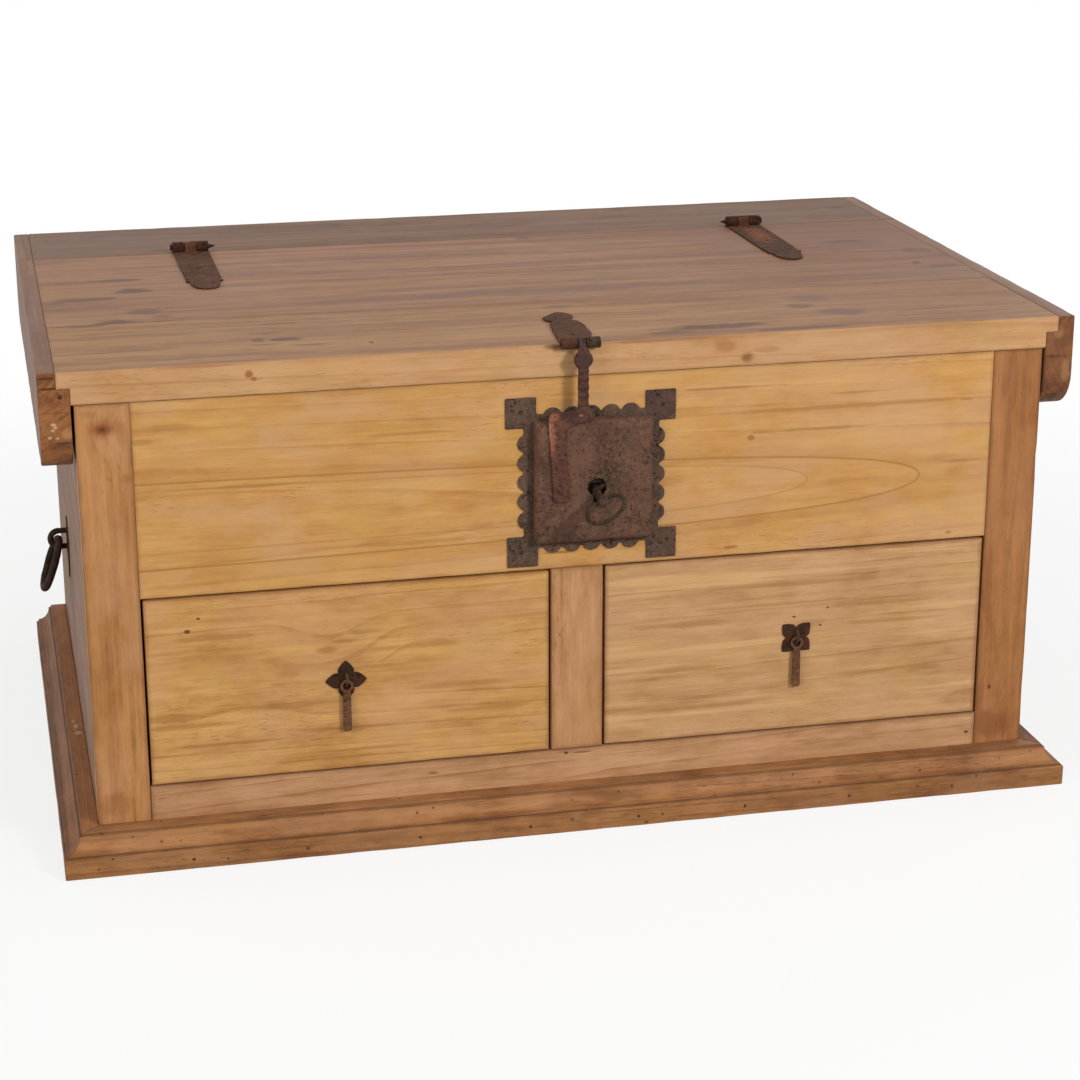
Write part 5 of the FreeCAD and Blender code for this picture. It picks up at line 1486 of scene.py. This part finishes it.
def plinth_finish(node, along, seed):
    front = node == "plinth_front"
    chips_and_painted_light = [
        # The first, long spot is painted light that lifts the shade on the inner land under the side panel;
        # the rest are pale chips.
        (-0.4868, 0.0, 0.0415, 0.014, 1.0, 0.006, 0.90, (0.400, 0.160, 0.054)),
        (-0.4885, -0.0330, 0.0410, 0.0030, 0.0080, 0.003, 0.85, PALE_CHIP),
        (-0.4870, -0.0520, 0.0410, 0.0040, 0.0050, 0.003, 0.85, PALE_CHIP),
        (-0.4905, -0.0180, 0.0410, 0.0022, 0.0050, 0.003, 0.70, PALE_CHIP),
    ]
    return pine(
        f"{node} pine", along, "z", (0.372, 0.166, 0.057) if front else (0.238, 0.088, 0.025),
        (0.180, 0.066, 0.020) if front else (0.106, 0.035, 0.010),
        pith=(-0.30, -0.03, 0.0), ring=0.008, sway=0.015, lines=1.0, bands=1.7, clouds=1.5,
        blush=(0.41, 0.200, 0.092) if front else (0.22, 0.086, 0.026), blushing=0.4, seed=seed,
        seams=[(0.0220, 0.0015, 0.80), (0.0388, 0.0020, 0.60)], worms=0.7,
        spots=chips_and_painted_light if "left" in node else (),
    )


def inside_finish(name, along, face, seed):
    return pine(
        name, along, face, RAW_PINE[0], RAW_PINE[1],
        pith=(0.1, 0.15, 0.0), ring=0.012, sway=0.03, lines=1.0, bands=0.8, clouds=0.7,
        blush=(0.50, 0.36, 0.24), blushing=0.4, rough=0.75, seed=seed,
    )


ARM_PAINTED_HIGHLIGHT = (0.30, 0.115, 0.055)
PURPLE = (0.058, 0.031, 0.027)
PLATE_IRON = rusted(
    "lock plate iron", seed=61, brown=(0.134, 0.076, 0.051), dark=(0.052, 0.031, 0.021), redness=0.3,
    patches=[
        (0.084, PROUD_FACE, 0.430, 0.022, 0.01, 0.022, 0.5, (0.072, 0.037, 0.028)),
        (0.086, PROUD_FACE, 0.290, 0.022, 0.01, 0.022, 0.35, (0.072, 0.037, 0.028)),
    ],
)
BOX_IRON = rusted(
    "lock box iron", seed=62, brown=(0.152, 0.075, 0.047), dark=(0.068, 0.035, 0.024), pitting=0.5,
    # The lighter, redder patch on the box's left side is painted light.
    patches=[(-0.047, -0.308, 0.350, 0.008, 0.02, 0.05, 0.5, (0.19, 0.090, 0.048))],
)
ARM_IRON = rusted(
    "hasp arm iron", seed=63, brown=(0.122, 0.049, 0.033), dark=(0.050, 0.022, 0.017), redness=0.6,
    pitting=0.3,
    # The orange patches and the two small pale ones are painted highlights down the bar's left edge and below
    # the eye; the purple patches are the disc's own dark colour.
    patches=[
        (-0.0285, -0.3133, 0.429, 0.009, 0.01, 0.005, 0.75, ARM_PAINTED_HIGHLIGHT),
        (-0.0305, -0.3133, 0.408, 0.005, 0.01, 0.022, 0.75, ARM_PAINTED_HIGHLIGHT),
        (-0.0325, -0.3133, 0.412, 0.002, 0.01, 0.012, 0.5, (0.46, 0.29, 0.21)),
        (0.0015, -0.3133, 0.484, 0.012, 0.01, 0.012, 0.8, PURPLE),
        (0.0015, -0.3033, 0.498, 0.010, 0.012, 0.010, 0.8, PURPLE),
        (-0.001, -0.3133, 0.429, 0.002, 0.01, 0.0015, 0.35, (0.40, 0.28, 0.18)),
    ],
)
LEAF_IRON = rusted(
    "hasp leaf iron", seed=64, dark=(0.042, 0.017, 0.008), brown=(0.092, 0.036, 0.016),
    red=(0.13, 0.042, 0.018),
)
PIN_IRON = rusted("hasp pin iron", seed=65, brown=(0.100, 0.048, 0.030))
STRAP_IRON = {
    -1: rusted("left strap iron", seed=66, dark=(0.042, 0.018, 0.009), brown=(0.098, 0.038, 0.017)),
    1: rusted(
        "right strap iron", seed=67, dark=(0.038, 0.014, 0.007), brown=(0.086, 0.032, 0.012),
        patches=[(0.322, 0.155, 0.498, 0.013, 0.05, 0.03, 0.7, (0.20, 0.064, 0.022))],
    ),
}
BARREL_IRON = rusted(
    "barrel iron", seed=68, dark=(0.022, 0.008, 0.004), brown=(0.058, 0.019, 0.008), redness=0.2
)
PULL_IRON = rusted(
    "pull plate iron", seed=69, dark=(0.024, 0.010, 0.005), brown=(0.058, 0.021, 0.010), redness=0.15
)
COTTER_IRON = rusted("cotter iron", seed=70, brown=(0.15, 0.068, 0.036))
DROP_IRON = rusted("drop iron", seed=71, dark=(0.080, 0.034, 0.016), brown=(0.165, 0.070, 0.032))
RING_IRON = rusted(
    "ring iron", seed=72, dark=(0.016, 0.009, 0.006), brown=(0.046, 0.024, 0.015), redness=0.25
)
KEY_IRON = rusted("key iron", seed=73, brown=(0.062, 0.038, 0.024), dark=(0.026, 0.015, 0.010))
NAIL_IRON = rusted("nail iron", seed=74, dark=(0.030, 0.016, 0.011), brown=(0.085, 0.043, 0.028), scale=2.0)
FILLED_NAIL_IRON = rusted(
    "filled nail iron", seed=76, dark=(0.060, 0.022, 0.008), brown=(0.140, 0.055, 0.020), scale=2.0
)
# Near black: painted shade inside the lock, seen through the keyhole and the hasp's slot.
INNER_IRON_PAINTED_SHADE = rusted(
    "inner lock iron painted shade", seed=75, dark=(0.008, 0.006, 0.005), brown=(0.022, 0.014, 0.011), redness=0.1
)


# ---------------------------------------------------------------- the chest


def carcass():
    board("front_left_post", "root", post_finish("left"), 0.8, 1)
    board("front_right_post", "root", post_finish("right"), 0.8, 2)
    board("upper_front_board", "root", front_board_finish(), 0.5, 3, wear=0.4)
    stile = pine(
        "stile pine", "z", "y", (0.545, 0.284, 0.126), (0.320, 0.134, 0.044), pith=(0.02, -0.26, 0.2),
        ring=0.006, sway=0.012, lines=0.6, bands=1.0, clouds=1.0, box=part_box("centre_stile"), seed=33,
    )
    board("centre_stile", "root", stile, 1.2, 4)
    rail = pine(
        "bottom rail pine", "x", "y", (0.570, 0.320, 0.158), (0.325, 0.148, 0.056), pith=(0.03, -0.24, 0.0),
        ring=0.008, sway=0.02, lines=1.0, bands=1.0, clouds=0.9, box=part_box("bottom_rail"), seed=35,
        dots=[(-0.0112, 0.0711, 0.002), (0.4197, 0.0536, 0.0018)],
        smudges=[(-0.148, 0.0626, 0.006, 0.002, 0.6), (0.004, 0.0708, 0.012, 0.0014, 0.7)],
    )
    board("bottom_rail", "root", rail, 1.0, 5)
    board("left_side_panel", "root", side_finish("left_side_panel", 41), 1.2, 6)
    board("right_side_panel", "root", side_finish("right_side_panel", 42), 1.2, 7)
    back = pine(
        "back pine", "x", "y", (0.32, 0.20, 0.125), (0.20, 0.115, 0.07), pith=(0.2, 0.45, 0.0), ring=0.010,
        sway=0.05, lines=1.0, bands=1.0, clouds=1.2, box=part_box("back_panel"), seed=43, inside=("y", -1),
    )
    board("back_panel", "root", back, 1.2, 8)
    runs = (("plinth_front", "x"), ("plinth_left", "y"), ("plinth_right", "y"))
    for seed, (node, along) in enumerate(runs):
        plinth_piece(node, plinth_finish(node, along, 51 + seed), 9 + seed)
    level = inside_finish("inside level pine", "x", "z", 81)
    board("compartment_floor", "root", level, 0.8, 12, wear=0.3)
    board("bottom_board", "root", level, 0.8, 13, wear=0.3)
    runners = inside_finish("runner pine", "y", "z", 82)
    for node in ("side_runners", "side_guides", "centre_runner", "centre_guide"):
        rails(node, runners)


def rails(node, material):
    """Runner and guide strips, each a planed stick with eased arrises."""
    bm = bmesh.new()
    for low, high in loose_parts(node):
        join(bm, board_mesh(low * MM, high * MM, 0.8, 3, 0.3))
    even_shading(finished(f"{node}_wood", bm, "root", material, [node]))


def top():
    front_spots = [
        (-0.023, PROUD_FACE, 0.4945, 0.012, 0.004, 0.0050, 0.85, RUST_STAIN),
        (-0.3165, PROUD_FACE, 0.4845, 0.005, 0.010, 0.0050, 0.80, (0.27, 0.080, 0.015)),
        (-0.3120, PROUD_FACE, 0.4800, 0.004, 0.010, 0.0028, 0.75, (0.27, 0.080, 0.015)),
        (0.1487, PROUD_FACE, 0.4850, 0.016, 0.010, 0.0090, 0.55, (0.33, 0.125, 0.038)),
        (0.1700, PROUD_FACE, 0.4730, 0.009, 0.010, 0.0060, 0.75, (0.20, 0.065, 0.018)),
        (0.1900, PROUD_FACE, 0.4790, 0.016, 0.010, 0.0030, 0.35, (0.30, 0.115, 0.035)),
        (0.0750, PROUD_FACE, 0.4950, 0.060, 0.003, 0.0022, 0.60, (0.26, 0.11, 0.045)),
        (-0.3600, PROUD_FACE, 0.4950, 0.050, 0.003, 0.0020, 0.55, (0.34, 0.13, 0.045)),
    ]
    front = lid_finish("lid_front_board", 1, pith=(-0.19, 0.42, 0.0), spots=front_spots)
    tongued_board("lid_front_board", "lid", front, 1.3, 14, wear=0.45)
    middle = lid_finish("lid_middle_board", 2, pith=(0.02, 0.40, 0.0))
    tongued_board("lid_middle_board", "lid", middle, 0.35, 15, wear=0.1)
    rear = lid_finish("lid_rear_board", 3, pith=(0.10, 0.43, 0.0))
    tongued_board("lid_rear_board", "lid", rear, 0.35, 16, wear=0.1)
    rail = lid_finish("rear_rail", 4, pith=(0.33, 0.42, 0.0))
    tongued_board("rear_rail", "root", rail, 1.0, 17, wear=0.35)
    cleats()


def cleats():
    brown = ((0.310, 0.118, 0.037), (0.140, 0.045, 0.014), (0.37, 0.150, 0.045))
    red = ((0.210, 0.078, 0.027), (0.062, 0.021, 0.008), (0.24, 0.092, 0.033))
    left_spots = [
        (-0.503, PROUD_FACE, 0.4930, 0.010, 0.004, 0.0080, 0.55, (0.15, 0.045, 0.016)),
        (-0.503, PROUD_FACE, 0.4912, 0.009, 0.004, 0.0014, 0.85, BLACK_CRACK),
        (-0.499, PROUD_FACE, 0.4812, 0.014, 0.004, 0.0013, 0.90, BLACK_CRACK),
        (-0.4865, PROUD_FACE, 0.4740, 0.003, 0.004, 0.0070, 0.60, (0.14, 0.050, 0.018)),
        (-0.5000, PROUD_FACE, 0.4580, 0.016, 0.004, 0.0010, 0.40, BLACK_CRACK),
        (-0.4995, PROUD_FACE, 0.4470, 0.0036, 0.004, 0.0022, 0.75, PALE_CHIP),
        (-0.4975, PROUD_FACE, 0.4445, 0.0022, 0.004, 0.0020, 0.55, PALE_CHIP),
        (-0.5000, PROUD_FACE, 0.4415, 0.0020, 0.004, 0.0016, 0.50, PALE_CHIP),
        (-0.5030, PROUD_FACE, 0.4345, 0.0020, 0.004, 0.0016, 0.60, PALE_CHIP),
        (-0.4960, PROUD_FACE, 0.4335, 0.0024, 0.004, 0.0018, 0.45, PALE_CHIP),
        (-0.4870, PROUD_FACE, 0.4370, 0.0050, 0.004, 0.0060, 0.40, (0.52, 0.28, 0.11)),
        # This near-black spot and the dark one two lines below are painted shade on the rounded lower corner
        # of the cleat's end.
        (-0.4890, PROUD_FACE, 0.4170, 0.0190, 0.004, 0.0155, 0.92, (0.058, 0.028, 0.015)),
        (-0.4890, PROUD_FACE, 0.4285, 0.0150, 0.004, 0.0016, 0.60, BLACK_CRACK),
        (-0.5020, PROUD_FACE, 0.4180, 0.0080, 0.004, 0.0120, 0.55, (0.15, 0.048, 0.022)),
        (-0.4960, PROUD_FACE, 0.4660, 0.0100, 0.004, 0.0040, 0.35, (0.16, 0.055, 0.020)),
    ]
    right_spots = [
        (0.4990, PROUD_FACE, 0.4700, 0.012, 0.004, 0.0100, 0.45, (0.10, 0.038, 0.018)),
        (0.4920, PROUD_FACE, 0.4550, 0.014, 0.004, 0.0016, 0.60, BLACK_CRACK),
        (0.5050, PROUD_FACE, 0.4400, 0.006, 0.004, 0.0160, 0.45, (0.42, 0.21, 0.090)),
        (0.4960, PROUD_FACE, 0.4780, 0.006, 0.004, 0.0050, 0.40, (0.40, 0.19, 0.075)),
        (0.4900, PROUD_FACE, 0.4250, 0.010, 0.004, 0.0040, 0.45, (0.10, 0.038, 0.018)),
    ]
    for node, body, tones, side, at_back, spots, seed in (
        ("lid_left_cleat", "lid", brown, -1, False, left_spots, 5),
        ("lid_right_cleat", "lid", red, 1, False, right_spots, 6),
        ("rail_left_end", "root", brown, -1, True, (), 7),
        ("rail_right_end", "root", red, 1, True, (), 8),
    ):
        finish = cleat_finish(node, *tones, seed, spots)
        end_cleat(node, body, finish, side, at_back, seed + 13)


def drawer(hand, seed):
    body = f"{hand}_drawer"
    board(f"{hand}_drawer_front", body, drawer_finish(hand), 0.9, seed)
    sides = inside_finish(f"{hand} drawer side pine", "y", "x", seed + 60)
    board(f"{hand}_drawer_left_side", body, sides, 1.0, seed + 1, wear=0.5)
    board(f"{hand}_drawer_right_side", body, sides, 1.0, seed + 2, wear=0.5)
    back = inside_finish(f"{hand} drawer back pine", "x", "y", seed + 61)
    board(f"{hand}_drawer_back", body, back, 1.0, seed + 3, wear=0.5)
    floor = inside_finish(f"{hand} drawer bottom pine", "x", "z", seed + 62)
    board(f"{hand}_drawer_bottom", body, floor, 0.6, seed + 4, wear=0.2)


def hardware():
    lock_plate()
    lock_box()
    hasp_arm()
    hasp_leaf()
    hasp_pin()
    key()
    for side in (-1, 1):
        lid_hinge(side)
    fixed_leaves()
    hinge_pins()
    pull("left", -232.975, 170.0, 0, 31)
    pull("right", 228.975, 176.0, 45, 35)
    side_handles()
    nail_heads("lid_nails", "lid", NAIL_IRON, 91)
    nail_heads("case_nails", "root", NAIL_IRON, 92)
    nail_heads("plinth_nails", "root", FILLED_NAIL_IRON, 93)
    # The bolt and its guides inside the box take the near-black painted-shade iron.
    for node in ("lock_bolt", "bolt_guides"):
        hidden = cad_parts[node].data
        hidden.materials.clear()
        hidden.materials.append(INNER_IRON_PAINTED_SHADE)


bpy.context.scene.view_settings.view_transform = "Standard"
camera()
studio()
carcass()
top()
drawer("left", 101)
drawer("right", 111)
hardware()
